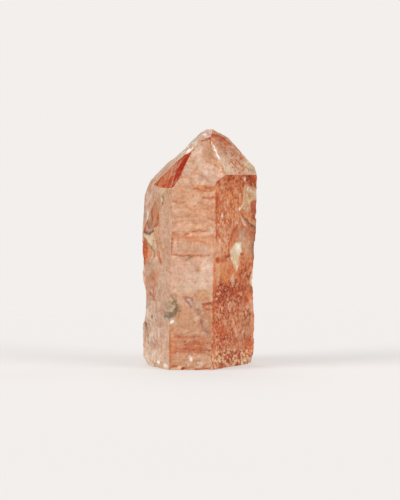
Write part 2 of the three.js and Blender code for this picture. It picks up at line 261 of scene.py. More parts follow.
@dataclass(frozen=True)
class Plane:
    """One flat face, by the way its outward normal points, in degrees.

    azimuth is the turn round the stone from +X, and rise is how far the face looks up.
    """

    azimuth: float
    rise: float

    def normal(self) -> Array:
        """Gives the outward normal."""
        turn, rise = math.radians(self.azimuth), math.radians(self.rise)
        return np.array([math.cos(turn) * math.cos(rise), math.sin(turn) * math.cos(rise), math.sin(rise)])

    def across(self) -> Array:
        """Gives the level direction to the right as one looks at the face."""
        turn = math.radians(self.azimuth)
        return np.array([-math.sin(turn), math.cos(turn), 0.0])


class Face(Enum):
    """The crystal's six walls, its six pyramid slopes, the small ground faces and the sawn foot."""

    FRONT = Plane(-93, 0.3)
    RIGHT = Plane(-33, -1.0)
    RIGHT_BACK = Plane(27, -0.8)
    BACK = Plane(87, 0.4)
    LEFT_BACK = Plane(147, -2.2)
    LEFT = Plane(207, 1.2)
    FRONT_SLOPE = Plane(-93, 38.2)
    RIGHT_SLOPE = Plane(-33, 32.6)
    RIGHT_BACK_SLOPE = Plane(27, 41.9)
    BACK_SLOPE = Plane(87, 38.2)
    LEFT_BACK_SLOPE = Plane(147, 41)
    LEFT_SLOPE = Plane(207, 38.2)
    RIDGE = Plane(-48.6, 34.7)
    LEFT_FLANK = Plane(200, 41.2)
    LOWER_LEFT_FLANK = Plane(201, 6.4)
    LEFT_CORNER = Plane(185, 20.6)
    TIP_FRONT = Plane(257.5, 56.4)
    TIP_BACK = Plane(75, 67)
    TIP_LEFT = Plane(163, 50.2)
    TIP_TOP = Plane(185, 62)
    FOOT = Plane(0, -90)


FACES = tuple(Face)


class Tint(Enum):
    """The stone's colours, and the white of painted highlights: the sRGB hex value, how rusty the place is, and how
    clear.
    """

    PEACH = ("#d7a382", 0.05, 0.1)
    BLUSH = ("#d5aa90", 0.0, 0.3)
    PETAL = ("#e2bfa9", 0.0, 0.4)
    CREAM = ("#e6d3ad", 0.0, 0.2)
    BONE = ("#cfb498", 0.0, 0.4)
    ROSE = ("#c8a18a", 0.0, 0.4)
    SAND = ("#c69877", 0.05, 0.3)
    CLAY = ("#b97954", 0.2, 0.1)
    AMBER = ("#d08648", 0.1, 0.3)
    SALMON = ("#ca7b4e", 0.4, 0.0)
    BRICK = ("#b04e2a", 0.2, 0.1)
    RUST = ("#b34c1e", 0.9, 0.0)
    OXIDE = ("#93330f", 1.0, 0.0)
    BLOOD = ("#9c1c00", 0.0, 0.0)
    EMBER = ("#bd4a24", 0.0, 0.1)
    MAUVE = ("#a1796e", 0.2, 0.2)
    OLIVE = ("#7d6643", 0.2, 0.1)
    BARK = ("#6a4630", 0.3, 0.0)
    SMOKE = ("#8a7565", 0.3, 0.0)
    # Pale clear stone, and also the white of the painted highlights and glints.
    ICE = ("#f8f3ec", 0.0, 0.3)

    def values(self) -> Array:
        """Gives red, green and blue in sRGB, then rust and clearness."""
        text, rust, clear = self.value
        return np.array([int(text[i : i + 2], 16) / 255 for i in (1, 3, 5)] + [rust, clear])


@dataclass(frozen=True)
class Patch:
    """A stain, or a painted highlight, with a soft ragged rim on one face. Sizes are in millimetres.

    along runs to the right from the face's middle, as one looks at it, and height is above the foot.
    spin turns the patch, soft is its feathered share, and ragged is how far its rim wanders.
    """

    along: float
    height: float
    wide: float
    tall: float
    tint: Tint
    strength: float
    spin: float = 0
    soft: float = 0.3
    ragged: float = 0.3

    def cover(self, veils: Veils) -> Array:
        """Says how strongly the patch covers each point.

        Args:
            veils: The points' places and the noise over them.

        Returns:
            A share between 0 and the patch's strength for each point.
        """
        wander = min(PATCH_WANDER, self.ragged * min(self.wide, self.tall))
        away = veils.place - (self.along, self.height) + veils.drift * wander
        level, upward = turned(away, self.spin)
        distance = np.hypot(level / (self.wide / 2), upward / (self.tall / 2))
        # The stain is thinner in places.
        patchy = np.clip(0.72 + 0.75 * (veils.noise(5, 2.4) - 0.3), 0, 1)
        return self.strength * patchy * (1 - ease(distance, 1 - self.soft, 1 + self.soft))


@dataclass(frozen=True)
class Flake:
    """A chip or bruise with a crisp rim, by its corners on one face, in millimetres."""

    corners: tuple[tuple[float, float], ...]
    tint: Tint
    strength: float
    rim: float = 0.35

    def cover(self, veils: Veils) -> Array:
        """Says how strongly the flake covers each point.

        Args:
            veils: The points' places and the noise over them.

        Returns:
            A share between 0 and the flake's strength for each point.
        """
        spots = veils.place + FLAKE_WANDER * veils.drift
        inside = np.zeros(len(spots), dtype=bool)
        nearest = np.full(len(spots), np.inf)
        for start, end in zip(self.corners, self.corners[1:] + self.corners[:1]):
            nearest = np.minimum(nearest, gap_to_run(spots, start, end))
            crosses = (spots[:, 1] > start[1]) != (spots[:, 1] > end[1])
            run = np.subtract(end, start)
            if run[1]:
                away = spots - start
                inside ^= crosses & (away[:, 0] < run[0] * away[:, 1] / run[1])
        depth = np.where(inside, nearest, -nearest)
        patchy = np.clip(0.7 + 0.8 * (veils.noise(6, 1.8) - 0.25), 0, 1)
        return self.strength * patchy * ease(depth, -self.rim, self.rim)


@dataclass(frozen=True)
class Streak:
    """A thin, broken line, a stain or a painted highlight, through some places on one face, in millimetres."""

    places: tuple[tuple[float, float], ...]
    wide: float
    tint: Tint
    strength: float

    def cover(self, veils: Veils) -> Array:
        """Says how strongly the line covers each point.

        Args:
            veils: The points' places and the noise over them.

        Returns:
            A share between 0 and the line's strength for each point.
        """
        moved = veils.place + veils.drift * min(STREAK_WANDER, 0.25 + self.wide * 0.3)
        nearest = np.full(len(moved), np.inf)
        for start, end in zip(self.places, self.places[1:]):
            nearest = np.minimum(nearest, gap_to_run(moved, start, end))
        # The line fades to a tenth of its strength in places.
        broken = np.clip(0.35 + 1.5 * (veils.noise(7, 2.2) - 0.2), 0.1, 1)
        return self.strength * broken * (1 - ease(nearest, self.wide * 0.2, self.wide * 0.8))


@dataclass(frozen=True)
class Strewn:
    """What lies scattered over an oval stretch of one face. Places and sizes are given as a patch's are."""

    along: float
    height: float
    wide: float
    tall: float
    tint: Tint
    strength: float

    def reach(self, veils: Veils, spin: float = 0) -> Array:
        """Says how far the stretch reaches over the points.

        Args:
            veils: The points' places and the noise over them.
            spin: The stretch's turn on the face, in degrees.

        Returns:
            A share between 0 and 1 for each point.
        """
        whole = Patch(self.along, self.height, self.wide, self.tall, self.tint, 1, spin, soft=0.35, ragged=0.2)
        return whole.cover(veils)


@dataclass(frozen=True)
class Speckle(Strewn):
    """A stretch of one face strewn with grains.

    share is how much of the ground the grains cover where they lie thickest, and grain is their size.
    """

    share: float
    grain: float = 1.4
    seed: int = 20
    spin: float = 0

    def cover(self, veils: Veils) -> Array:
        """Says how strongly the grains cover each point.

        Args:
            veils: The points' places and the noise over them.

        Returns:
            A share between 0 and the grains' strength for each point.
        """
        reach = self.reach(veils, self.spin)
        grains = veils.noise(self.seed, self.grain, 2)
        # Grains show where their noise is above this limit, which is higher towards the stretch's rim.
        limit = 0.5 + 0.3 * (0.5 - self.share) + 0.25 * (1 - np.clip(reach * 1.3, 0, 1))
        return self.strength * ease(grains, limit - 0.035, limit + 0.045) * (reach > 0.02)


@dataclass(frozen=True)
class Threads(Strewn):
    """Thin wandering threads over a stretch of one face.

    mesh is the width between threads in millimetres, and thin is a thread's share of it.
    """

    mesh: float = 4.0
    thin: float = 0.07
    seed: int = 40

    def cover(self, veils: Veils) -> Array:
        """Says how strongly the threads cover each point.

        Args:
            veils: The points' places and the noise over them.

        Returns:
            A share between 0 and the threads' strength for each point.
        """
        ridge = abs(veils.noise(self.seed, self.mesh, 3) - 0.5)
        return self.strength * self.reach(veils) * (1 - ease(ridge, self.thin * 0.4, self.thin))


@dataclass(frozen=True)
class Fibres:
    """Fine level or upright fibres over a whole face, as growth lines and veils show through it."""

    tint: Tint
    strength: float
    long: float = 7.0
    thin: float = 0.9
    turn: float = 0
    share: float = 0.3
    seed: int = 60

    def cover(self, veils: Veils) -> Array:
        """Says how strongly the fibres cover each point.

        Args:
            veils: The points' places and the noise over them.

        Returns:
            A share between 0 and the fibres' strength for each point.
        """
        limit = 0.5 + 0.35 * (0.5 - self.share)
        return self.strength * ease(veils.fibres(self.seed, self.long, self.thin, self.turn), limit, limit + 0.16)


Mark = Patch | Flake | Streak | Speckle | Threads | Fibres


@dataclass(frozen=True)
class Paint:
    """How one face is coloured: its ground colours by height, then its marks in the order they lie.

    lines is how many faint growth lines it has under its marks, and line_tint is their colour.
    """

    ground: tuple[tuple[float, Tint], ...]
    marks: tuple[Mark, ...] = ()
    lines: int = 0
    line_tint: Tint = Tint.SALMON


def line(strength: float, wide: float, tint: Tint, *places: tuple[float, float]) -> Streak:
    """Makes a streak with its places last, as the tables below read best."""
    return Streak(places, wide, tint, strength)


FRONT_PAINT = Paint(
    ground=(
        (0, Tint.SAND),
        (4, Tint.SAND),
        (8.5, Tint.CLAY),
        (13, Tint.CLAY),
        (18, Tint.SAND),
        (27, Tint.SAND),
        (33, Tint.BLUSH),
        (46, Tint.BLUSH),
        (55, Tint.PEACH),
        (72, Tint.PEACH),
        (78, Tint.PEACH),
    ),
    marks=(
        Fibres(Tint.SALMON, 0.22, 8, 0.7, 2, 0.25, 60),
        Fibres(Tint.PETAL, 0.3, 6, 0.8, -2, 0.25, 61),
        Fibres(Tint.BLUSH, 0.4, 1.0, 7, 0, 0.3, 62),
        # Pale ground along the left edge and a paler field in the middle.
        Patch(-9.5, 60, 4.5, 30, Tint.BLUSH, 0.6),
        Patch(-11.4, 60, 3, 36, Tint.BLUSH, 0.6),
        Flake(((-10.6, 54), (-5, 54.6), (3.6, 51.4), (5.2, 47.7), (-10.6, 47.7)), Tint.BLUSH, 0.65),
        Patch(-1, 38, 17, 14, Tint.PETAL, 0.5),
        Patch(4.6, 43.5, 5, 6.5, Tint.PETAL, 0.8),
        Patch(-7, 41, 8, 8, Tint.BLUSH, 0.6),
        Patch(-3, 34, 12, 5, Tint.BONE, 0.5),
        Threads(0, 38, 18, 18, Tint.PETAL, 0.6, 5, 0.06, 41),
        Threads(-2, 60, 20, 32, Tint.SALMON, 0.3, 6, 0.04, 42),
        # Yellowish pit and its dark floor.
        Patch(2.2, 42.2, 2.2, 2.8, Tint.CREAM, 0.45),
        Patch(0.6, 42, 2.6, 2.2, Tint.AMBER, 0.45),
        Patch(0.2, 41.4, 1.2, 0.9, Tint.OLIVE, 0.6),
        line(0.7, 0.7, Tint.OLIVE, (-4.5, 45.4), (-3.4, 46), (-2.6, 46.8)),
        # Warm stone round the pink pits.
        Patch(-3, 20.4, 17, 12, Tint.SAND, 0.5),
        Patch(-6, 24.6, 8, 8, Tint.PEACH, 0.4),
        Patch(-2, 20, 18, 12, Tint.CLAY, 0.25),
        Patch(4.4, 19.6, 6, 13, Tint.CLAY, 0.4),
        Patch(2.8, 30.6, 8, 4, Tint.SAND, 0.6),
        Patch(5.8, 31, 2, 6, Tint.CREAM, 0.35),
        line(0.6, 1.0, Tint.AMBER, (0.8, 32.6), (2.6, 33.2), (4.4, 32.8)),
        line(0.55, 0.9, Tint.AMBER, (0.2, 30.2), (2.4, 30.8), (4.4, 30)),
        line(0.55, 0.8, Tint.CLAY, (-0.8, 31.4), (0.6, 29.6)),
        # Red band over the foot, and pale stone under it.
        Patch(-2, 10.8, 20, 8.6, Tint.CLAY, 0.6),
        Patch(-2, 11, 20, 11, Tint.ROSE, 0.35),
        Patch(-9.6, 9, 3.4, 11, Tint.SALMON, 0.45),
        Patch(-3, 3.4, 18, 4, Tint.CLAY, 0.3),
        Speckle(-2, 3.2, 18, 6, Tint.PETAL, 0.6, 0.3, 1.3, 21),
        Speckle(-2, 2.6, 18, 5, Tint.CLAY, 0.6, 0.3, 1.1, 22),
        Patch(-2, 3.6, 17, 6, Tint.SAND, 0.4),
        # White and pale spots on small chips at the foot, painted as highlights.
        Patch(-2.7, 5.5, 1.7, 1.5, Tint.ICE, 0.85, soft=0.3),
        Patch(-2.2, 4.4, 1.2, 1.4, Tint.ICE, 0.8),
        Patch(-0.8, 6.6, 1, 0.8, Tint.PETAL, 0.9),
        Patch(0.9, 3, 2.4, 1.0, Tint.ICE, 0.7, soft=0.3),
        Patch(3.2, 3.4, 1.2, 0.9, Tint.PETAL, 0.9),
        Patch(-8, 1.2, 6, 1.5, Tint.CREAM, 0.7),
        # Golden pit on the left edge with its dark floor, and white chips under it.
        Flake(((-11.7, 30.3), (-9.6, 29.2), (-8.5, 26.6), (-8.7, 23.6), (-13, 23.6), (-12.4, 27)), Tint.CREAM, 0.35),
        Patch(-10, 26.4, 4.6, 5, Tint.OLIVE, 0.6),
        Patch(-10.4, 27, 3.4, 4.4, Tint.AMBER, 0.25),
        Speckle(-10.2, 26, 4.4, 6, Tint.BARK, 0.6, 0.25, 0.9, 73),
        Flake(((-12.8, 24.2), (-8.2, 24), (-9.2, 21.8), (-10.2, 20.9), (-12.8, 21.2)), Tint.SMOKE, 0.95),
        Patch(-11, 22.6, 2, 1.6, Tint.BARK, 0.5),
        Patch(-10.6, 20, 2.6, 1.3, Tint.ICE, 0.9),
        Patch(-8.6, 19.6, 1, 1.2, Tint.CREAM, 0.7),
        line(1.0, 0.9, Tint.OLIVE, (-11.9, 30.2), (-10.4, 29.6), (-8.9, 27.8), (-8.3, 26), (-8.6, 24.4)),
        Speckle(-8, 24, 4, 5, Tint.OLIVE, 0.6, 0.3, 1.0, 23),
        # Pink pits.
        Flake(((-5.4, 30.6), (-3.2, 29.8), (-2, 28), (-2.2, 26), (-4.2, 27.4)), Tint.PETAL, 0.85),
        line(0.95, 0.8, Tint.MAUVE, (-5.4, 30.4), (-4.2, 28.6), (-2.8, 26.8), (-2.4, 26)),
        line(0.8, 0.8, Tint.MAUVE, (-4.2, 30.2), (-2.2, 29.4), (-1.8, 27.4)),
        Patch(-5, 30, 1.6, 1.2, Tint.CLAY, 0.8),
        line(0.9, 1.1, Tint.MAUVE, (-1.2, 25.4), (0, 24.2), (1, 24)),
        Patch(1.4, 25, 3, 1.4, Tint.MAUVE, 0.45),
        Patch(-0.2, 21.6, 2.4, 2.2, Tint.PETAL, 0.85),
        # Curved crack.
        line(0.6, 0.9, Tint.BRICK, (1.4, 21), (1.6, 19.2), (2.6, 17.4), (3.4, 16.4)),
        line(0.8, 1.2, Tint.MAUVE, (1.4, 20.8), (2, 18.4), (3.2, 16.2), (4.8, 14)),
        Patch(3.6, 19.4, 3, 4.4, Tint.ROSE, 0.5),
        # Pale lines on two growth steps: painted light that evens out the shade on their sloped edges.
        line(0.75, 0.7, Tint.PETAL, (-10, 62.1), (-3, 62), (4.6, 61.9)),
        line(0.6, 0.7, Tint.PETAL, (-11, 57.5), (-4, 57.6)),
        Patch(-2, 65, 14, 8, Tint.PEACH, 0.4, ragged=0.5),
        # Growth lines with iron in them, from the shoulder down.
        Patch(3.4, 75.2, 9, 3.2, Tint.SALMON, 0.6),
        line(0.55, 0.8, Tint.SALMON, (-5.4, 75.9), (-2.6, 76.3), (1.4, 76.4), (4, 77.2), (7, 77.6)),
        line(0.5, 0.8, Tint.RUST, (-1.6, 74.9), (0.8, 74.8), (4, 73.6), (7.2, 74.4)),
        line(0.5, 0.8, Tint.RUST, (3.2, 75.6), (7.2, 75.4)),
        line(0.5, 0.7, Tint.SALMON, (-7.8, 70.9), (-5.4, 71.7), (-1.6, 72)),
        line(0.6, 0.8, Tint.RUST, (2.6, 71.1), (4.4, 71.1), (7.2, 71.2)),
        Patch(3.2, 71.1, 1.6, 0.7, Tint.BRICK, 0.7),
        line(0.75, 0.6, Tint.OXIDE, (-10.4, 70), (-8.8, 69.3)),
        line(0.5, 0.8, Tint.SALMON, (-8.4, 69), (-5.4, 69.2)),
        line(0.6, 0.7, Tint.CLAY, (-4.4, 67.6), (-2, 66.1)),
        line(0.35, 0.7, Tint.SALMON, (-1, 66.4), (6, 66.6)),
        line(0.5, 0.7, Tint.CLAY, (-9.4, 63.7), (-8.6, 63.2)),
        line(0.5, 0.7, Tint.CLAY, (-4, 64.1), (-3, 63.7)),
        line(0.6, 0.6, Tint.SALMON, (-10.8, 62.3), (-9.4, 60.8), (-8.2, 60.6), (-6.6, 61.2)),
        line(0.6, 0.7, Tint.SALMON, (-2, 61.2), (-0.4, 60.8)),
        line(0.65, 0.8, Tint.RUST, (4.6, 63), (6, 62.2), (7.2, 61.8)),
        line(0.45, 0.7, Tint.SALMON, (2, 60), (7.2, 59.4)),
        line(0.75, 0.6, Tint.RUST, (-2.2, 57.1), (0.4, 57.9), (2.6, 57.4), (4.2, 57.7)),
        Patch(-9.6, 56.6, 3.2, 1.9, Tint.RUST, 0.65),
        Patch(-4.6, 56.2, 2.4, 0.9, Tint.BRICK, 0.85, 24),
        line(0.6, 1.0, Tint.SALMON, (-8.2, 55.6), (-3, 54.4), (1, 53.6), (3.4, 51.8)),
        line(0.4, 1.8, Tint.SALMON, (-1, 55.2), (4, 54.8), (7.4, 54.6)),
        line(0.8, 1.1, Tint.RUST, (-10.6, 54.3), (-10.7, 51), (-10.5, 47.8)),
        line(0.65, 0.6, Tint.RUST, (-10.4, 47.8), (-6, 47.4), (0, 47.3), (5, 47.6)),
        line(0.55, 0.7, Tint.SALMON, (3.6, 51.6), (5, 50), (5.4, 47.8)),
        line(0.5, 0.7, Tint.SALMON, (-4, 53.2), (-0.4, 53)),
        line(0.9, 1.2, Tint.BRICK, (2.8, 27.4), (5, 27.7), (7, 27.4)),
        line(0.75, 0.8, Tint.RUST, (2.4, 26.2), (4, 25.4), (6.8, 25.2)),
        line(0.6, 0.8, Tint.CLAY, (3, 27.4), (2.6, 25.6)),
        line(0.6, 0.8, Tint.RUST, (-8.8, 13.9), (-4, 13.4), (0.4, 13.8)),
        line(0.5, 0.8, Tint.RUST, (-6.8, 12), (-4, 11.4), (1, 12)),
        line(0.85, 0.8, Tint.BRICK, (-4.8, 10.3), (-1, 10.7), (2, 10.4)),
        line(0.6, 0.7, Tint.RUST, (1, 11.6), (6.8, 10.8)),
        line(0.75, 0.9, Tint.BRICK, (-8.6, 9), (-4.4, 8.6), (0, 8.8), (6.6, 8.1)),
        line(0.5, 0.9, Tint.RUST, (-9, 7.6), (-4, 7.4), (3.4, 7.2)),
        line(0.5, 0.8, Tint.RUST, (-4, 9.6), (4, 9.4)),
        line(0.4, 0.8, Tint.SALMON, (-9, 5.6), (-1, 6)),
        line(0.6, 1.0, Tint.RUST, (-11.2, 14.6), (-11.3, 10), (-11, 3)),
        line(0.45, 0.8, Tint.SALMON, (-11.6, 20), (-11.4, 14.6)),
        line(0.6, 1.2, Tint.AMBER, (6.9, 27), (7, 14)),
        line(0.5, 1.0, Tint.SALMON, (7, 14), (6.8, 1)),
        # Red line along the foot's rim.
        line(0.95, 0.9, Tint.BRICK, (-12, 0.3), (-11.4, 1.2), (-9.6, 1.7), (-8.2, 1.5)),
        Patch(-5.8, 0.5, 1.8, 1.5, Tint.BLOOD, 1.0, ragged=0.1),
        line(1.0, 0.9, Tint.BRICK, (-1, 0.1), (3, 0.4), (7, 0.9)),
    ),
    lines=24,
)

RIGHT_PAINT = Paint(
    ground=(
        (0, Tint.SAND),
        (5, Tint.SALMON),
        (16, Tint.SALMON),
        (24, Tint.SALMON),
        (31, Tint.RUST),
        (36, Tint.SALMON),
        (46, Tint.SALMON),
        (53, Tint.PEACH),
        (62, Tint.SALMON),
        (75, Tint.SALMON),
        (80, Tint.RUST),
    ),
    marks=(
        Patch(-6, 57, 12, 22, Tint.PEACH, 0.55),
        Patch(1, 58, 6, 16, Tint.AMBER, 0.25),
        Patch(1, 70, 8, 14, Tint.AMBER, 0.3),
        Fibres(Tint.PEACH, 0.35, 1.4, 7, 0, 0.3, 63),
        Speckle(-1, 66, 26, 36, Tint.RUST, 0.7, 0.28, 1.0, 24),
        Speckle(-1, 60, 26, 44, Tint.PETAL, 0.55, 0.26, 0.9, 25),
        Threads(-2, 62, 24, 34, Tint.RUST, 0.45, 3.4, 0.06, 43),
        # Dark red under the shoulder.
        Patch(2, 78.4, 30, 5, Tint.RUST, 0.4),
        Speckle(3, 78, 32, 7, Tint.OXIDE, 0.75, 0.42, 1.8, 26),
        Speckle(3, 78, 32, 7, Tint.PEACH, 0.6, 0.25, 1.2, 27),
        Patch(15.4, 78.4, 9, 5, Tint.OXIDE, 0.8),
        Patch(18, 75.6, 6, 3, Tint.OXIDE, 0.6),
        # A painted highlight on the shoulder.
        Patch(10.6, 78.6, 1.8, 1.9, Tint.ICE, 0.75),
        line(1.0, 1.2, Tint.OXIDE, (-8.4, 81.4), (-9.4, 80.4)),
        line(1.0, 1.5, Tint.OXIDE, (-10.4, 80), (-10.6, 77.8)),
        # A painted highlight: a small white glint.
        Patch(-7, 63.8, 1.2, 1.3, Tint.ICE, 0.9),
        Patch(6.8, 72, 1.2, 2.2, Tint.PETAL, 0.9),
        Patch(-10.6, 71, 2.4, 4, Tint.BRICK, 0.6),
        # Glassy chip under the shoulder.
        Flake(((10.6, 76.2), (20.6, 75.4), (20.8, 71), (17.4, 66), (12, 64.6), (9, 67.4)), Tint.BONE, 0.85),
        Patch(16.4, 72.6, 6, 4, Tint.SAND, 0.6),
        Patch(13.6, 72.6, 2, 7, Tint.CREAM, 0.5),
        Speckle(15, 70.6, 11, 11, Tint.SALMON, 0.55, 0.35, 1.8, 28),
        Speckle(15, 71, 11, 11, Tint.CREAM, 0.6, 0.25, 1.3, 29),
        Flake(((17, 69.4), (21.4, 70.4), (21.4, 61), (18.6, 61.6), (16.4, 65)), Tint.BRICK, 0.95),
        Patch(19, 64, 5, 8, Tint.BARK, 0.15),
        line(0.9, 1.2, Tint.CREAM, (10.8, 75.4), (10.4, 70.6), (8.4, 66.4)),
        # Dark ledge, the pale band under it, and a painted highlight at its end.
        Flake(((8, 65.6), (20.8, 58.4), (20.8, 54), (9.4, 58.6), (6.8, 61.6)), Tint.CLAY, 0.7),
        Patch(14.4, 57.6, 11, 5, Tint.BRICK, 0.5, -20),
        Flake(((6.6, 63.8), (8.2, 63.6), (13.2, 60.2), (13.4, 58.2), (10.4, 59)), Tint.PETAL, 0.95),
        line(0.95, 1.3, Tint.RUST, (7.4, 65.8), (10.6, 63.2), (15.4, 60.2)),
        line(0.8, 0.9, Tint.BARK, (13, 62), (17.4, 58.8), (21, 56.8)),
        line(0.8, 1.2, Tint.SAND, (12.6, 63.4), (18.8, 59.4)),
        Patch(7.2, 66.2, 1.8, 1.6, Tint.ICE, 1.0),
        Patch(4.4, 65.6, 2.2, 1.8, Tint.PETAL, 0.6),
        # Large smooth chip.
        Flake(
            ((7, 57.4), (12, 59.4), (20.6, 56.6), (21, 45), (14, 44.6), (11, 47.6), (9.6, 50.4)),
            Tint.CLAY,
            0.9,
        ),
        Patch(9.4, 54.6, 4.6, 6, Tint.ROSE, 0.75, -20),
        Patch(14.6, 49.6, 8, 8.6, Tint.SAND, 0.85),
        Patch(13.2, 46.6, 5, 4, Tint.SALMON, 0.5),
        Patch(12.4, 53.6, 3, 2, Tint.PETAL, 0.55, -30),
        # Painted shade: darker towards the chip's right edge.
        Patch(19.8, 50, 3.6, 15, Tint.BARK, 0.6, soft=0.8),
        Patch(17.8, 55.6, 3.6, 2.2, Tint.RUST, 0.7, -20),
        line(0.8, 0.9, Tint.RUST, (9.6, 44.9), (13.6, 44.5), (19.6, 44.3)),
        # Red rim left of the large chip.
        Flake(((3.4, 58.8), (7.6, 57.6), (8.6, 51.6), (5.4, 51.8), (1.2, 49), (-1.2, 48)), Tint.SALMON, 0.8),
        Patch(5.2, 54.6, 5, 8, Tint.RUST, 0.5, -10),
        line(1.0, 2.4, Tint.RUST, (3.4, 57.4), (1.4, 53.2), (-1.2, 48.4)),
        Patch(-6.4, 49.4, 1.3, 1.3, Tint.BARK, 0.6),
        Patch(-7.2, 47, 2.2, 3, Tint.PEACH, 0.7),
        # Bright flake: a pale chip, with white painted on it as its shine.
        Flake(
            (
                *((6.2, 52.4), (10.4, 52.2), (10, 48), (8, 46.2), (6.6, 43)),
                *((5.2, 40), (2.8, 42.4), (0.4, 45.6), (2, 48.4)),
            ),
            Tint.CREAM,
            1.0,
            0.3,
        ),
        Patch(7, 48.4, 5, 6, Tint.ICE, 0.35, -30),
        Patch(4.4, 46.2, 2.8, 3.2, Tint.BONE, 0.5),
        line(1.0, 1.4, Tint.ICE, (6.6, 51.4), (8.6, 50.6), (9.4, 48.4)),
        line(0.7, 0.9, Tint.ICE, (4.6, 48), (5.4, 44), (5, 42)),
        # Dark red line and the orange patch under it.
        line(1.0, 1.4, Tint.OXIDE, (-10.9, 45.9), (-8.2, 45.4), (-5, 46.3), (-0.6, 46.9)),
        line(0.9, 1.1, Tint.RUST, (-11, 44.9), (-8.4, 44.6), (-3.4, 45)),
        Flake(((-8.4, 44), (1.4, 44.4), (3.4, 41), (2, 36.2), (-2, 33.4), (-8.4, 35.4)), Tint.AMBER, 0.35),
        Patch(0.8, 40.8, 4, 5, Tint.RUST, 0.45),
        Patch(-2.2, 36.4, 3.4, 5, Tint.SALMON, 0.6),
        Flake(((-11, 44), (-8.4, 44), (-8.4, 35), (-11, 35)), Tint.PEACH, 0.85),
        # Small pale flake.
        Flake(((0.6, 34.4), (1.6, 38.6), (3.6, 40), (4.2, 37.6), (3.2, 33.6), (1.4, 32.2)), Tint.BONE, 0.85),
        Speckle(2.2, 36, 4, 7, Tint.PEACH, 0.6, 0.3, 1.2, 30),
        # Heavy rust on the right and across the middle.
        Patch(11.2, 38, 13, 15, Tint.RUST, 0.55),
        Speckle(10.6, 38, 15, 18, Tint.OXIDE, 0.8, 0.34, 2.0, 31),
        Speckle(10.6, 38, 15, 18, Tint.PEACH, 0.6, 0.18, 1.3, 32),
        Patch(10, 32.4, 9, 5, Tint.OXIDE, 0.6),
        Speckle(-6, 34, 9, 10, Tint.OXIDE, 0.75, 0.3, 1.3, 33),
        Patch(-2.5, 29.6, 20, 5.4, Tint.RUST, 0.6),
        Speckle(-1, 29.8, 26, 9, Tint.OXIDE, 0.95, 0.5, 2.0, 34),
        Speckle(0, 29.6, 26, 8, Tint.PETAL, 0.75, 0.2, 1.6, 35),
        Patch(-2, 31, 4, 3, Tint.OXIDE, 0.9),
        Patch(1.5, 28.6, 3.4, 2.6, Tint.OXIDE, 0.9),
        line(1.0, 1.2, Tint.OXIDE, (-10.2, 28.2), (-6, 27), (-3.6, 27.2)),
        Patch(-7.4, 24.6, 5, 5, Tint.PEACH, 0.6),
        Patch(3.4, 25, 10, 4, Tint.PEACH, 0.4),
        Patch(12.6, 19, 6, 12, Tint.SAND, 0.55, ragged=0.5),
        Patch(-6, 20, 10, 6, Tint.CLAY, 0.4, ragged=0.5),
        # Crust of red and pale grains down to the foot.
        Patch(2, 13, 32, 30, Tint.SAND, 0.6),
        Speckle(2, 13, 32, 36, Tint.RUST, 0.8, 0.5, 1.9, 36),
        Speckle(2, 15, 32, 34, Tint.OXIDE, 0.95, 0.42, 1.1, 37),
        Speckle(2, 14, 32, 34, Tint.PEACH, 0.75, 0.28, 0.9, 38),
        Threads(2, 13, 32, 30, Tint.OXIDE, 0.6, 2.6, 0.05, 44),
        Patch(-7.6, 15.6, 7, 5, Tint.RUST, 0.7),
        Patch(9, 10, 18, 9, Tint.CLAY, 0.4),
        Patch(14.4, 13.6, 8, 10, Tint.CLAY, 0.5),
        Patch(9.8, 20.4, 3, 11, Tint.SAND, 0.5),
        line(0.8, 1.2, Tint.PETAL, (5, 15.4), (5.4, 13.4)),
        line(0.8, 1.4, Tint.PETAL, (11.4, 15.8), (10.8, 13)),
        line(0.9, 1.2, Tint.BARK, (15.6, 21.4), (16.6, 18.6)),
        line(0.9, 1.1, Tint.BARK, (13, 12.6), (13.2, 10.8)),
        Patch(15.6, 8.2, 7, 7, Tint.RUST, 0.75),
        Patch(16.8, 24.6, 5, 5, Tint.PETAL, 0.5),
        Patch(14, 27, 4, 3.4, Tint.OXIDE, 0.6),
        Speckle(2, 3.4, 34, 8, Tint.CREAM, 0.7, 0.5, 1.0, 39),
        Speckle(2, 3.4, 34, 8, Tint.OXIDE, 0.75, 0.3, 1.1, 40),
        Flake(((17.2, 40.6), (19.4, 41.6), (19.4, 33), (16.8, 33.4), (16.6, 37)), Tint.CREAM, 0.8),
        line(0.7, 1.2, Tint.OLIVE, (17, 35), (17.2, 31)),
        # Red along the edge with the front wall.
        line(0.9, 1.2, Tint.RUST, (-11.6, 72), (-11.2, 63), (-11, 55)),
        line(0.5, 1.0, Tint.SALMON, (-11.2, 54), (-11, 46)),
        line(0.8, 1.2, Tint.RUST, (-11, 35), (-11.6, 28)),
        line(1.0, 1.8, Tint.RUST, (-12, 27.6), (-12.4, 22), (-12.2, 19)),
        line(0.6, 1.3, Tint.SALMON, (-12, 18), (-11.8, 1)),
    ),
    lines=4,
    line_tint=Tint.RUST,
)

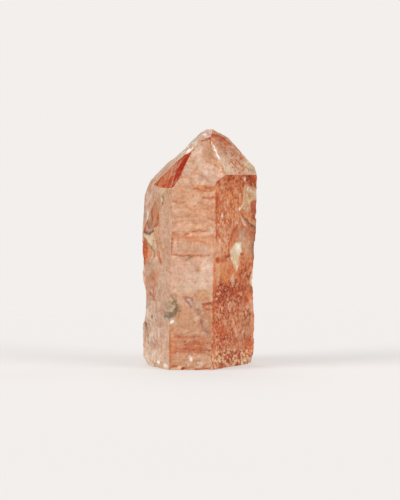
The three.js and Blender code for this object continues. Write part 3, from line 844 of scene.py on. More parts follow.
LEFT_PAINT = Paint(
    ground=(
        (0, Tint.BONE),
        (12, Tint.ROSE),
        (25, Tint.ROSE),
        (33, Tint.BLUSH),
        (44, Tint.BLUSH),
        (56, Tint.BLUSH),
        (66, Tint.SAND),
        (76, Tint.SAND),
    ),
    marks=(
        Fibres(Tint.CLAY, 0.35, 1.1, 8, 0, 0.28, 64),
        Fibres(Tint.PETAL, 0.5, 1.0, 7, 0, 0.3, 65),
        Threads(0, 20, 30, 44, Tint.CREAM, 0.5, 5, 0.06, 45),
        Patch(6, 62, 10, 26, Tint.BLUSH, 0.65),
        Patch(6, 48, 8, 16, Tint.BLUSH, 0.6),
        Patch(8, 47, 4, 14, Tint.ROSE, 0.5),
        Patch(4, 34, 14, 16, Tint.BLUSH, 0.5),
        Patch(4, 34, 8, 6, Tint.PETAL, 0.35),
        Patch(7, 12, 6, 22, Tint.BLUSH, 0.4),
        Patch(0, 14, 26, 30, Tint.CLAY, 0.15),
        Patch(-1, 20, 30, 42, Tint.SMOKE, 0.17),
        Patch(-6, 12, 20, 26, Tint.ICE, 0.16),
        # Streaky brown stone over the long chip.
        Flake(((-17, 72), (-6, 71), (-0.6, 66), (-0.2, 60), (-6, 58.2), (-17, 56)), Tint.CLAY, 0.6),
        line(0.75, 1.3, Tint.OLIVE, (-13.4, 67.6), (-12, 64)),
        line(0.85, 1.5, Tint.BRICK, (-8, 68.4), (-7.6, 64), (-7, 61.8)),
        line(0.7, 1.2, Tint.RUST, (-12, 62), (-11.4, 58)),
        line(0.75, 1.2, Tint.BRICK, (-1.8, 64), (-2, 61), (-3.6, 59.4), (-5, 59)),
        line(0.6, 1.2, Tint.SALMON, (-4.6, 68), (-4.2, 63)),
        line(0.5, 1.2, Tint.CREAM, (-10.4, 68), (-10, 62)),
        Patch(-9.4, 59, 5, 3, Tint.MAUVE, 0.55),
        Patch(-10, 64, 10, 14, Tint.BARK, 0.12),
        Patch(-14.6, 60, 2.6, 8, Tint.BRICK, 0.5),
        # Long chip with dark rims, cream inside and red behind its edge.
        Flake(((-15, 56), (-7.4, 58), (-5, 54), (-5.6, 48.6), (-8.6, 49.8), (-15.4, 53.4)), Tint.CREAM, 0.5),
        Patch(-8, 51.6, 3, 4.6, Tint.OLIVE, 0.3, -30),
        Patch(-6.4, 46.8, 3.4, 7, Tint.SAND, 0.7, -20),
        Flake(((-15.6, 52.4), (-11.8, 50), (-9, 46.6), (-9.6, 43), (-15.6, 42)), Tint.SALMON, 0.8),
        Patch(-14.4, 47.6, 4.4, 11, Tint.RUST, 1.0, soft=0.2),
        line(1.0, 1.1, Tint.BARK, (-15, 56.2), (-11.4, 56), (-8, 57.4)),
        line(0.8, 0.9, Tint.OLIVE, (-15, 53.6), (-11.4, 50.6), (-8, 48.2), (-6.4, 45.2)),
        Patch(-5.6, 44, 2, 2.4, Tint.CREAM, 0.8),
        Patch(-3.6, 54.6, 6, 7, Tint.AMBER, 0.38),
        line(0.7, 1.4, Tint.SALMON, (-4.4, 53), (-3.2, 50), (-2.4, 47)),
        line(0.6, 1.0, Tint.SALMON, (0.2, 52.6), (2, 50), (4, 47)),
        line(0.85, 1.2, Tint.RUST, (-0.2, 48.4), (0.8, 45.4), (1.8, 44)),
        line(0.5, 0.9, Tint.CLAY, (-3, 40.2), (3, 40.5), (10.8, 40.9)),
        line(0.5, 1.0, Tint.SALMON, (5.4, 52), (5.6, 46)),
        # Grey-pink and brown stone under it.
        Patch(-8.5, 42, 10, 6, Tint.ROSE, 0.8),
        Patch(-9, 43.6, 5, 3, Tint.MAUVE, 0.3),
        Patch(-5.4, 36, 8, 9.5, Tint.CLAY, 0.75),
        Patch(-10.4, 35, 4, 9, Tint.MAUVE, 0.45),
        Patch(-2, 38.6, 5, 3, Tint.SALMON, 0.3),
        line(0.85, 1.2, Tint.BRICK, (-7, 33.4), (-6.6, 30.6)),
        Patch(1.6, 31.8, 2.4, 2.2, Tint.MAUVE, 0.55),
        Patch(-12.6, 30, 3.6, 14, Tint.SALMON, 0.75),
        line(0.75, 1.0, Tint.BRICK, (-10, 31), (-7, 29.4), (-2.2, 27.6)),
        Patch(-8.4, 29, 5, 3.6, Tint.MAUVE, 0.3),
        Patch(-10.4, 22.4, 5, 3, Tint.PETAL, 0.8),
        Patch(-5, 24, 4, 7, Tint.PETAL, 0.4),
        # Small dark pit under the red facet, with yellowish stone round it.
        Patch(2.2, 72.6, 5, 7.4, Tint.CREAM, 0.5),
        Patch(2, 71, 1.7, 3, Tint.OLIVE, 0.95, soft=0.3),
        Patch(2.4, 69, 1.3, 1.6, Tint.BARK, 0.8),
        line(0.6, 0.8, Tint.OLIVE, (3.4, 73), (3.6, 70)),
        Patch(-6, 20.9, 1.9, 1.7, Tint.OLIVE, 0.9),
        Patch(-2, 19.4, 1.7, 1.6, Tint.CLAY, 0.9),
        # Dark slots near the foot.
        line(0.95, 1.7, Tint.BARK, (-11.4, 17.6), (-10.8, 15.4), (-10, 12.6)),
        line(0.7, 1.0, Tint.OLIVE, (-9.4, 17.6), (-8.8, 14)),
        line(0.6, 1.2, Tint.CLAY, (-12.4, 16.4), (-11.6, 10)),
        line(0.6, 1.0, Tint.OLIVE, (-10, 11.6), (-8.6, 9)),
        Patch(-3, 9.6, 9, 5.4, Tint.MAUVE, 0.5),
        line(0.6, 1.0, Tint.SALMON, (1.8, 19.4), (3, 10), (4.4, 0.4)),
        line(0.4, 0.9, Tint.SALMON, (8.6, 20), (8.4, 4)),
        Patch(-7, 4, 13, 7, Tint.BONE, 0.6),
        Patch(-7, 4.4, 14, 8, Tint.ICE, 0.22),
        Speckle(-6, 8, 18, 18, Tint.PETAL, 0.6, 0.36, 1.6, 41),
        Speckle(-6, 8, 18, 18, Tint.CLAY, 0.4, 0.2, 1.5, 42),
        # White spots at the foot's rim: painted highlights.
        Patch(1, 2.3, 2.8, 1.8, Tint.ICE, 1.0, soft=0.3),
        Patch(7.6, 1.6, 3.2, 1.8, Tint.ICE, 0.8),
        line(0.8, 0.9, Tint.CLAY, (-5.2, 2.6), (-3, 1.4)),
        Patch(4.4, 6, 3, 7, Tint.PETAL, 0.4),
        # The golden pit's half of this wall.
        Flake(((10.6, 30.6), (8.4, 27.4), (6.6, 23.8), (12, 23.8), (12, 30)), Tint.CREAM, 0.4),
        Patch(8.8, 26, 4, 4, Tint.OLIVE, 0.5),
        Flake(((6.2, 24), (12, 24.2), (12, 21), (8.4, 21.2), (5, 21)), Tint.SMOKE, 0.95),
        Patch(7.4, 22, 2.4, 1.6, Tint.BARK, 0.5),
    ),
    lines=0,
)

FRONT_SLOPE_PAINT = Paint(
    ground=((74, Tint.PEACH), (79, Tint.ROSE), (88, Tint.ROSE), (97, Tint.ROSE)),
    marks=(
        Patch(1, 86, 20, 26, Tint.SAND, 0.5),
        Patch(3, 88, 12, 18, Tint.MAUVE, 0.16),
        Fibres(Tint.PETAL, 0.5, 1.1, 6, 0, 0.3, 66),
        Threads(1, 86, 18, 24, Tint.PETAL, 0.6, 4, 0.06, 46),
        Patch(4.4, 89, 5, 11, Tint.SAND, 0.95, -8),
        Patch(5.4, 86.6, 3, 6, Tint.SAND, 0.6, -10),
        Patch(4.6, 89.6, 4, 10, Tint.CLAY, 0.35, -10),
        Patch(5, 90.6, 2, 5, Tint.OLIVE, 0.25, -10),
        Patch(1.4, 84, 6, 6, Tint.PETAL, 0.6),
        Patch(4.6, 82.6, 4, 5, Tint.PETAL, 0.7),
        Patch(-1.5, 91, 4, 7, Tint.PETAL, 0.4),
        Patch(-2.9, 86.4, 4, 3.4, Tint.SAND, 0.75),
        Patch(-5, 82, 4, 5, Tint.ROSE, 0.5),
        line(0.6, 1.1, Tint.SALMON, (-0.6, 84.4), (-0.4, 81)),
        line(0.5, 1.0, Tint.SALMON, (-1.6, 82.6), (-1.4, 80)),
        line(0.4, 0.8, Tint.SAND, (0.6, 83), (1, 79)),
        line(0.6, 0.9, Tint.PETAL, (1.2, 92), (1, 88)),
        line(0.9, 1.0, Tint.BRICK, (1, 95), (3.6, 95.6)),
        line(1.0, 1.2, Tint.OXIDE, (4.8, 96.6), (4.8, 95.4), (5.6, 93)),
        Patch(6.6, 91.8, 1.9, 3, Tint.SALMON, 0.9),
        line(0.5, 0.9, Tint.SALMON, (7, 90.6), (7.7, 86.6)),
        line(0.4, 0.8, Tint.SALMON, (-7, 79.6), (-2, 79.4)),
        # Red along the edge with the red facet.
        line(1.0, 1.7, Tint.BLOOD, (-6.4, 85), (-7.2, 81.6), (-9, 78.6)),
        line(0.8, 1.2, Tint.BRICK, (-3.6, 90), (-5.4, 87)),
    ),
)

RIGHT_SLOPE_PAINT = Paint(
    ground=((79, Tint.BLUSH), (84, Tint.BLUSH), (90, Tint.SAND), (94, Tint.SALMON), (99, Tint.SALMON)),
    marks=(
        Fibres(Tint.PETAL, 0.5, 1.2, 6, 0, 0.3, 67),
        Patch(0, 84, 8, 9, Tint.CREAM, 0.45),
        Patch(2, 88, 8, 14, Tint.BLUSH, 0.5),
        Patch(11, 89, 12, 13, Tint.SAND, 0.5),
        Speckle(11, 89, 20, 18, Tint.RUST, 0.75, 0.32, 1.0, 43),
        Speckle(12, 88, 18, 16, Tint.PETAL, 0.7, 0.3, 1.0, 44),
        Patch(10, 86.6, 3.4, 1.6, Tint.RUST, 0.6, -30),
        Patch(11.6, 85, 3, 1.6, Tint.RUST, 0.7, -30),
        Patch(9.4, 92.6, 4, 3, Tint.SALMON, 0.5),
        Flake(((13, 86.4), (17, 86), (23, 82.6), (23, 80.4), (17, 81)), Tint.BONE, 0.85),
        Patch(17, 84, 6, 2.2, Tint.CREAM, 0.7, -30),
        Patch(17.6, 82.6, 5, 2, Tint.OLIVE, 0.25),
        Patch(20, 86.6, 6, 3.4, Tint.CREAM, 0.6),
        # Grey-pink rim of the point, and the red line inside it.
        line(0.8, 2.6, Tint.ROSE, (3, 99), (8, 98), (13, 95.4), (18, 91), (23, 86)),
        Speckle(12, 94, 26, 10, Tint.MAUVE, 0.5, 0.3, 1.3, 47),
        line(1.0, 1.7, Tint.BRICK, (0.7, 97.1), (5.6, 97.1), (9.2, 95.6)),
        line(0.6, 1.0, Tint.RUST, (9.2, 95.8), (12.4, 94)),
        line(0.8, 0.9, Tint.OXIDE, (2.4, 97.2), (7, 96.6), (10, 95.4)),
        Patch(16.4, 91.4, 1.8, 1.1, Tint.OXIDE, 0.8, -30),
    ),
)

LEFT_SLOPE_PAINT = Paint(
    ground=((73, Tint.EMBER), (80, Tint.EMBER), (92, Tint.EMBER)),
    marks=(
        Patch(-5, 79, 12, 12, Tint.CLAY, 0.3),
        Patch(0, 86, 6, 7, Tint.CLAY, 0.35),
        Fibres(Tint.PETAL, 0.3, 6, 0.9, -52, 0.28, 68),
        Fibres(Tint.BLOOD, 0.5, 6, 0.9, -52, 0.3, 69),
        Speckle(-3, 81, 14, 14, Tint.PEACH, 0.4, 0.25, 1.2, 74),
        # Deep red sheet along the right edge.
        Flake(
            (
                *((3.8, 88.8), (3, 84.7), (3.8, 81.8), (8, 77.7), (10.2, 75)),
                *((14, 75), (13.6, 77.6), (10.8, 82), (9, 86.4), (6.6, 90.6)),
            ),
            Tint.BLOOD,
            1.0,
        ),
        Flake(((4, 88), (5.6, 84), (8, 80), (10.6, 76), (13.4, 76), (10.6, 82), (8, 87)), Tint.BLOOD, 0.9),
        Speckle(8, 82, 12, 16, Tint.EMBER, 0.75, 0.36, 1.0, 71),
        Speckle(8, 82, 12, 16, Tint.BARK, 0.5, 0.2, 1.2, 72),
        # Thin pale veins beside it.
        line(0.6, 0.7, Tint.PETAL, (2.4, 85), (4.4, 81.4), (7.4, 78), (9.6, 75.8)),
        line(0.55, 0.6, Tint.PETAL, (7.8, 82), (10.4, 76.6)),
        line(0.5, 0.9, Tint.PETAL, (-2, 84), (2, 79)),
        line(0.8, 1.0, Tint.OXIDE, (-13, 75.9), (-8, 76.2), (-3.6, 75.6)),
        Patch(-12.6, 76.4, 3, 2, Tint.OXIDE, 0.8),
        line(0.9, 1.0, Tint.BLOOD, (6, 75.2), (11.6, 75.2)),
        line(0.8, 1.0, Tint.BLOOD, (-12.6, 76.6), (-5, 83), (2.4, 89)),
        # The broken rim above it, cream, with a painted highlight on it.
        Patch(1.6, 93, 7, 6, Tint.CREAM, 0.95),
        Patch(2.4, 90.6, 2.2, 1.5, Tint.ICE, 0.7),
    ),
)

TIP_PAINT = Paint(
    ground=((90, Tint.ROSE), (95, Tint.ROSE), (100, Tint.ROSE)),
    marks=(
        Patch(2, 97, 18, 12, Tint.MAUVE, 0.38),
        Speckle(2, 97, 16, 10, Tint.PETAL, 0.5, 0.3, 1.2, 45),
        Speckle(2, 97, 16, 10, Tint.MAUVE, 0.5, 0.35, 1.1, 46),
        # Two small painted highlights.
        Patch(-0.8, 95.8, 1.4, 1.1, Tint.ICE, 0.4),
        Patch(2.6, 97.6, 1.9, 1.1, Tint.ICE, 0.4),
        Patch(-2, 93.6, 3, 2, Tint.ROSE, 0.5),
        line(0.7, 0.8, Tint.MAUVE, (3, 98.6), (5.6, 97)),
    ),
)

RIDGE_PAINT = Paint(
    ground=((74, Tint.BLUSH), (82, Tint.PEACH), (90, Tint.SAND), (98, Tint.SALMON)),
    marks=(
        Fibres(Tint.SALMON, 0.5, 1.0, 5, 0, 0.35, 70),
        Speckle(0, 84, 12, 16, Tint.CREAM, 0.5, 0.3, 1.3, 49),
        Speckle(0, 86, 12, 18, Tint.SALMON, 0.6, 0.25, 1.3, 50),
        # Painted highlight: white streaks, and a fainter pale one under them, along the edge where it catches the
        # light.
        line(1.0, 0.9, Tint.ICE, (0.2, 94), (0.6, 92.2)),
        line(1.0, 1.0, Tint.ICE, (0.4, 90.8), (0.2, 88.6), (0.6, 87.4)),
        line(0.7, 0.7, Tint.PETAL, (0.8, 85.8), (0.6, 84.2)),
        Patch(0.8, 83, 2.6, 5, Tint.SALMON, 0.7),
        Patch(-3, 84.8, 1.6, 1.8, Tint.SALMON, 0.7),
        Patch(-3.6, 80.6, 3, 4, Tint.PETAL, 0.7),
        Patch(-2.2, 90, 2, 6, Tint.SALMON, 0.6),
        Patch(1.4, 96, 4, 3, Tint.BRICK, 0.6),
    ),
)

STRIP_PAINT = Paint(
    ground=((56, Tint.BONE), (66, Tint.ROSE), (74, Tint.BLUSH), (86, Tint.PETAL), (96, Tint.BONE)),
    marks=(
        Fibres(Tint.PETAL, 0.7, 1.2, 7, 24, 0.4, 71),
        Fibres(Tint.CLAY, 0.4, 1.2, 7, 24, 0.3, 72),
        Patch(-11, 76, 10, 12, Tint.ICE, 0.15),
        Patch(-12, 70, 3, 10, Tint.PETAL, 0.6),
        Patch(-10, 63, 3, 6, Tint.ICE, 0.5),
        Patch(-11, 76, 4, 8, Tint.CLAY, 0.35),
        Speckle(-8, 90, 22, 10, Tint.CREAM, 0.5, 0.4, 1.1, 51),
        Patch(-1, 92, 9, 8, Tint.PETAL, 0.8),
        Speckle(-1, 92, 10, 9, Tint.ICE, 0.6, 0.4, 1.0, 75),
        # A painted highlight by the broken rim.
        Patch(2.3, 90.8, 3, 1.8, Tint.ICE, 0.95),
    ),
)

BACK_PAINTS = {
    Face.RIGHT_BACK: Paint(
        ground=(
            (0, Tint.SALMON),
            (14, Tint.CLAY),
            (30, Tint.SALMON),
            (48, Tint.SAND),
            (70, Tint.PEACH),
            (84, Tint.CLAY),
        ),
        marks=(
            Fibres(Tint.SALMON, 0.4, 7, 0.9, 2, 0.3, 73),
            Fibres(Tint.PETAL, 0.45, 1.1, 7, 0, 0.3, 74),
            Threads(2, 64, 26, 38, Tint.RUST, 0.4, 5, 0.05, 48),
            Speckle(0, 60, 30, 44, Tint.SALMON, 0.5, 0.3, 1.4, 52),
            # Broad chip, and the chip above it.
            Patch(-4.5, 41, 15, 19, Tint.BONE, 0.7, 24, ragged=0.5),
            Patch(-6, 37, 8, 8, Tint.ROSE, 0.6, 24),
            Speckle(-4.5, 41, 14, 18, Tint.CREAM, 0.5, 0.3, 1.6, 53),
            line(0.85, 1.2, Tint.OXIDE, (-11.6, 45), (-10, 49.4), (-6.6, 51.6), (-2.4, 51.8)),
            line(0.6, 0.9, Tint.RUST, (1.4, 48.6), (3, 44), (2.2, 39.6)),
            Patch(1.5, 61.5, 9, 7, Tint.SAND, 0.6, -20, ragged=0.5),
            line(0.7, 0.9, Tint.OLIVE, (-2.4, 63.6), (0.6, 65.4), (4.4, 64)),
            # Rust over the lower half.
            Patch(5, 27, 15, 10, Tint.RUST, 0.55, ragged=0.6),
            Speckle(1, 20, 30, 38, Tint.RUST, 0.7, 0.42, 1.5, 54),
            Speckle(1, 17, 30, 34, Tint.OXIDE, 0.8, 0.3, 1.1, 55),
            Speckle(1, 18, 30, 36, Tint.PETAL, 0.65, 0.24, 1.0, 56),
            Threads(1, 16, 30, 30, Tint.OXIDE, 0.5, 2.8, 0.05, 49),
            Patch(7, 15, 9, 9, Tint.BONE, 0.45, 15, ragged=0.6),
            Patch(9, 47, 6, 18, Tint.AMBER, 0.45, ragged=0.6),
            Patch(-2, 77, 14, 5, Tint.SALMON, 0.5, ragged=0.6),
            line(0.7, 0.9, Tint.RUST, (-8, 68.2), (-4, 68.8), (0.6, 68.4)),
            line(0.6, 0.9, Tint.RUST, (3, 68.9), (8.6, 69.3)),
            line(0.5, 0.8, Tint.SALMON, (-10, 73.6), (-3, 73.2), (1, 73.8)),
            Speckle(0, 3, 28, 7, Tint.CREAM, 0.6, 0.35, 1.5, 57),
        ),
        lines=6,
    ),
    Face.BACK: Paint(
        ground=(
            (0, Tint.SAND),
            (10, Tint.CLAY),
            (20, Tint.PEACH),
            (34, Tint.BLUSH),
            (52, Tint.PETAL),
            (66, Tint.PEACH),
            (82, Tint.PEACH),
        ),
        marks=(
            Fibres(Tint.SALMON, 0.45, 8, 0.8, 2, 0.28, 75),
            Fibres(Tint.PETAL, 0.5, 6, 0.9, -3, 0.3, 76),
            Fibres(Tint.BLUSH, 0.4, 1.0, 7, 0, 0.3, 77),
            Threads(0, 56, 26, 44, Tint.SALMON, 0.35, 6, 0.045, 50),
            Threads(2, 34, 22, 20, Tint.PETAL, 0.6, 5, 0.06, 51),
            # Dish and pit.
            Patch(3.2, 49, 9, 7, Tint.CREAM, 0.55, -26, ragged=0.5),
            line(0.7, 0.9, Tint.OLIVE, (-0.8, 51.6), (2.4, 52.8), (6.4, 51)),
            Patch(-7.6, 28.6, 4.4, 7.4, Tint.SAND, 0.6, 12, ragged=0.5),
            Patch(-7.8, 30.6, 2.6, 2.6, Tint.OLIVE, 0.7),
            line(0.85, 0.9, Tint.MAUVE, (-9.6, 31.8), (-7.2, 32.6), (-5.4, 30.4), (-5.6, 27)),
            # Paler and redder fields.
            Patch(-4, 62, 14, 10, Tint.BLUSH, 0.6, 8, ragged=0.6),
            Patch(5, 36, 13, 12, Tint.PETAL, 0.5, ragged=0.6),
            Patch(-4, 13, 15, 8, Tint.CLAY, 0.55, ragged=0.6),
            Patch(-1, 9.4, 16, 4, Tint.RUST, 0.3),
            Patch(6.8, 8.4, 9, 7, Tint.BONE, 0.5, ragged=0.6),
            Patch(9.4, 66, 6, 16, Tint.CLAY, 0.4, ragged=0.6),
            # Growth lines with iron in them.
            line(0.4, 0.6, Tint.RUST, (-12, 78.4), (-7, 78.1), (-2.6, 78.7)),
            line(0.55, 0.8, Tint.SALMON, (1, 77.6), (7, 77.9), (12, 77.4)),
            line(0.4, 0.6, Tint.SALMON, (-13, 70.2), (-6.4, 70.7), (1, 70.1), (7, 70.6)),
            Patch(-5, 72, 16, 5, Tint.SALMON, 0.35, 3, ragged=0.6),
            line(0.5, 0.8, Tint.SALMON, (2.4, 70), (8, 69.6)),
            line(0.4, 0.6, Tint.RUST, (-1, 61.2), (4.6, 61.9), (8.4, 61.6)),
            Patch(4, 60, 12, 3, Tint.SALMON, 0.3, -3, ragged=0.6),
            line(0.55, 0.8, Tint.SALMON, (-12, 55.2), (-7, 54.6), (-3, 55)),
            line(0.4, 0.8, Tint.CLAY, (0.8, 44.2), (5, 43.6), (11, 43.9)),
            line(0.5, 0.8, Tint.SALMON, (-9, 38.8), (-4, 38.3)),
            line(0.45, 0.7, Tint.BRICK, (-4, 22.3), (1, 22.8), (7.4, 22.4)),
            Patch(5, 23.6, 10, 3, Tint.SALMON, 0.3, 4, ragged=0.6),
            line(0.6, 0.8, Tint.RUST, (-11, 17.2), (-5, 16.6), (0.4, 17)),
            line(0.5, 0.8, Tint.BRICK, (-10, 11.8), (-4, 12.3), (3, 11.8)),
            line(0.4, 0.7, Tint.RUST, (-6, 9.2), (2, 9.6), (6, 9)),
            Speckle(0, 3.4, 24, 7, Tint.PETAL, 0.7, 0.35, 1.3, 58),
            Speckle(0, 3.2, 24, 7, Tint.CLAY, 0.6, 0.3, 1.1, 59),
        ),
        lines=20,
    ),
    Face.LEFT_BACK: Paint(
        ground=(
            (0, Tint.BONE),
            (14, Tint.SAND),
            (30, Tint.ROSE),
            (52, Tint.BLUSH),
            (66, Tint.SAND),
            (78, Tint.CLAY),
        ),
        marks=(
            Fibres(Tint.CLAY, 0.4, 1.1, 8, 0, 0.3, 78),
            Fibres(Tint.PETAL, 0.5, 1.0, 7, 0, 0.3, 79),
            Fibres(Tint.SALMON, 0.35, 7, 0.9, 2, 0.25, 80),
            Threads(0, 36, 28, 60, Tint.CREAM, 0.45, 5, 0.05, 52),
            # Long chip and the high one.
            Patch(2.2, 40.5, 10, 16, Tint.SAND, 0.7, -28, ragged=0.5),
            Patch(3.6, 37.6, 5, 8, Tint.ROSE, 0.6, -28),
            line(0.8, 1.0, Tint.OLIVE, (-3.6, 37), (-3, 43), (-0.2, 47), (3.4, 48.8)),
            Patch(-6.5, 64, 6.5, 8, Tint.CREAM, 0.6, 30, ragged=0.5),
            line(0.8, 1.0, Tint.BRICK, (-9.6, 61), (-6.8, 59.8), (-3.8, 61)),
            Patch(-8, 47, 7, 13, Tint.SALMON, 0.45, ragged=0.6),
            Patch(6.4, 62, 9, 12, Tint.PETAL, 0.5, ragged=0.6),
            Patch(1, 14, 17, 11, Tint.RUST, 0.35, ragged=0.6),
            Speckle(-2, 12, 22, 26, Tint.RUST, 0.55, 0.34, 1.1, 60),
            Speckle(-1, 10, 24, 22, Tint.CREAM, 0.5, 0.3, 1.0, 61),
            Patch(9, 10, 6, 22, Tint.ROSE, 0.5, ragged=0.6),
            Patch(7, 26, 8, 8, Tint.MAUVE, 0.35, ragged=0.6),
            line(0.6, 0.9, Tint.RUST, (-9, 66.4), (-3.6, 66), (0.4, 66.4)),
            line(0.5, 0.8, Tint.SALMON, (-2, 51.6), (3, 52), (8, 51.4)),
            line(0.6, 0.9, Tint.BRICK, (-10, 25.6), (-5.6, 25.2), (-1, 25.8)),
            line(0.55, 0.9, Tint.RUST, (1.6, 72.6), (6, 72.2), (10, 72.6)),
        ),
        lines=8,
    ),
    Face.RIGHT_BACK_SLOPE: Paint(
        ground=((80, Tint.SALMON), (88, Tint.PEACH), (100, Tint.BLUSH)),
        marks=(
            Fibres(Tint.PETAL, 0.5, 1.2, 6, 0, 0.3, 81),
            Speckle(2, 88, 22, 14, Tint.RUST, 0.6, 0.3, 1.6, 62),
            Speckle(2, 90, 22, 16, Tint.CREAM, 0.55, 0.25, 1.4, 63),
            Patch(-4, 91, 6, 5, Tint.PETAL, 0.5, ragged=0.6),
        ),
    ),
    Face.BACK_SLOPE: Paint(
        ground=((80, Tint.PEACH), (88, Tint.BLUSH), (100, Tint.BLUSH)),
        marks=(
            Fibres(Tint.PETAL, 0.5, 1.2, 6, 0, 0.3, 82),
            Threads(0, 90, 24, 20, Tint.PETAL, 0.6, 4, 0.06, 53),
            Speckle(6, 88, 14, 14, Tint.SALMON, 0.6, 0.35, 1.6, 64),
            Patch(-5, 87, 9, 8, Tint.PETAL, 0.5, ragged=0.6),
            Patch(6, 85, 8, 6, Tint.CLAY, 0.45, ragged=0.6),
            line(0.4, 0.7, Tint.RUST, (-10, 82.6), (-5, 83), (0, 82.7)),
            Patch(0, 96, 6, 4, Tint.SAND, 0.5),
        ),
    ),
    Face.LEFT_BACK_SLOPE: Paint(
        ground=((74, Tint.BONE), (84, Tint.BLUSH), (100, Tint.BONE)),
        marks=(
            Fibres(Tint.PETAL, 0.5, 1.2, 6, 0, 0.3, 83),
            Speckle(4, 80, 14, 14, Tint.BRICK, 0.55, 0.35, 1.7, 65),
            Patch(5, 80, 8, 6, Tint.BRICK, 0.4, ragged=0.6),
            Patch(-5, 84, 8, 10, Tint.PETAL, 0.5, ragged=0.6),
        ),
    ),
    Face.FOOT: Paint(
        ground=((-20, Tint.SAND), (20, Tint.BONE)),
        marks=(
            Patch(4, 0, 24, 30, Tint.SALMON, 0.5, 20, ragged=0.6),
            Patch(-12, -4, 16, 26, Tint.BONE, 0.5, -10, ragged=0.6),
            Threads(0, 0, 50, 44, Tint.PETAL, 0.5, 6, 0.06, 54),
            Speckle(8, 4, 26, 26, Tint.RUST, 0.5, 0.3, 1.8, 66),
        ),
    ),
}

PAINTS: dict[Face, Paint] = {
    Face.FRONT: FRONT_PAINT,
    Face.RIGHT: RIGHT_PAINT,
    Face.LEFT: LEFT_PAINT,
    Face.FRONT_SLOPE: FRONT_SLOPE_PAINT,
    Face.RIGHT_SLOPE: RIGHT_SLOPE_PAINT,
    Face.LEFT_SLOPE: LEFT_SLOPE_PAINT,
    Face.RIDGE: RIDGE_PAINT,
    Face.LEFT_FLANK: STRIP_PAINT,
    Face.LOWER_LEFT_FLANK: STRIP_PAINT,
    Face.LEFT_CORNER: STRIP_PAINT,
    Face.TIP_FRONT: TIP_PAINT,
    Face.TIP_BACK: TIP_PAINT,
    Face.TIP_LEFT: TIP_PAINT,
    Face.TIP_TOP: TIP_PAINT,
    **BACK_PAINTS,
}


@dataclass(frozen=True)
class RoughZone:
    """A stretch of one face where the surface is broken into small scallops."""

    face: Face
    along: float
    height: float
    wide: float
    tall: float
    amount: float


ROUGH_ZONES = (
    RoughZone(Face.RIGHT, 2, 18, 34, 52, 1.0),
    RoughZone(Face.RIGHT, 3, 60, 34, 50, 0.35),
    RoughZone(Face.RIGHT, 13, 78, 14, 8, 0.8),
    RoughZone(Face.LEFT, -8, 12, 14, 26, 0.5),
    RoughZone(Face.RIGHT_BACK, 0, 16, 34, 38, 0.9),
    RoughZone(Face.LEFT_BACK, 0, 10, 28, 26, 0.8),
    RoughZone(Face.BACK, 0, 7, 30, 18, 0.6),
)

# How strongly each wall shows its growth lines. The ground faces have none.
LADDER = {
    Face.FRONT: 0.75,
    Face.RIGHT: 0.35,
    Face.RIGHT_BACK: 0.8,
    Face.BACK: 1.0,
    Face.LEFT_BACK: 0.8,
    Face.LEFT: 0.5,
}


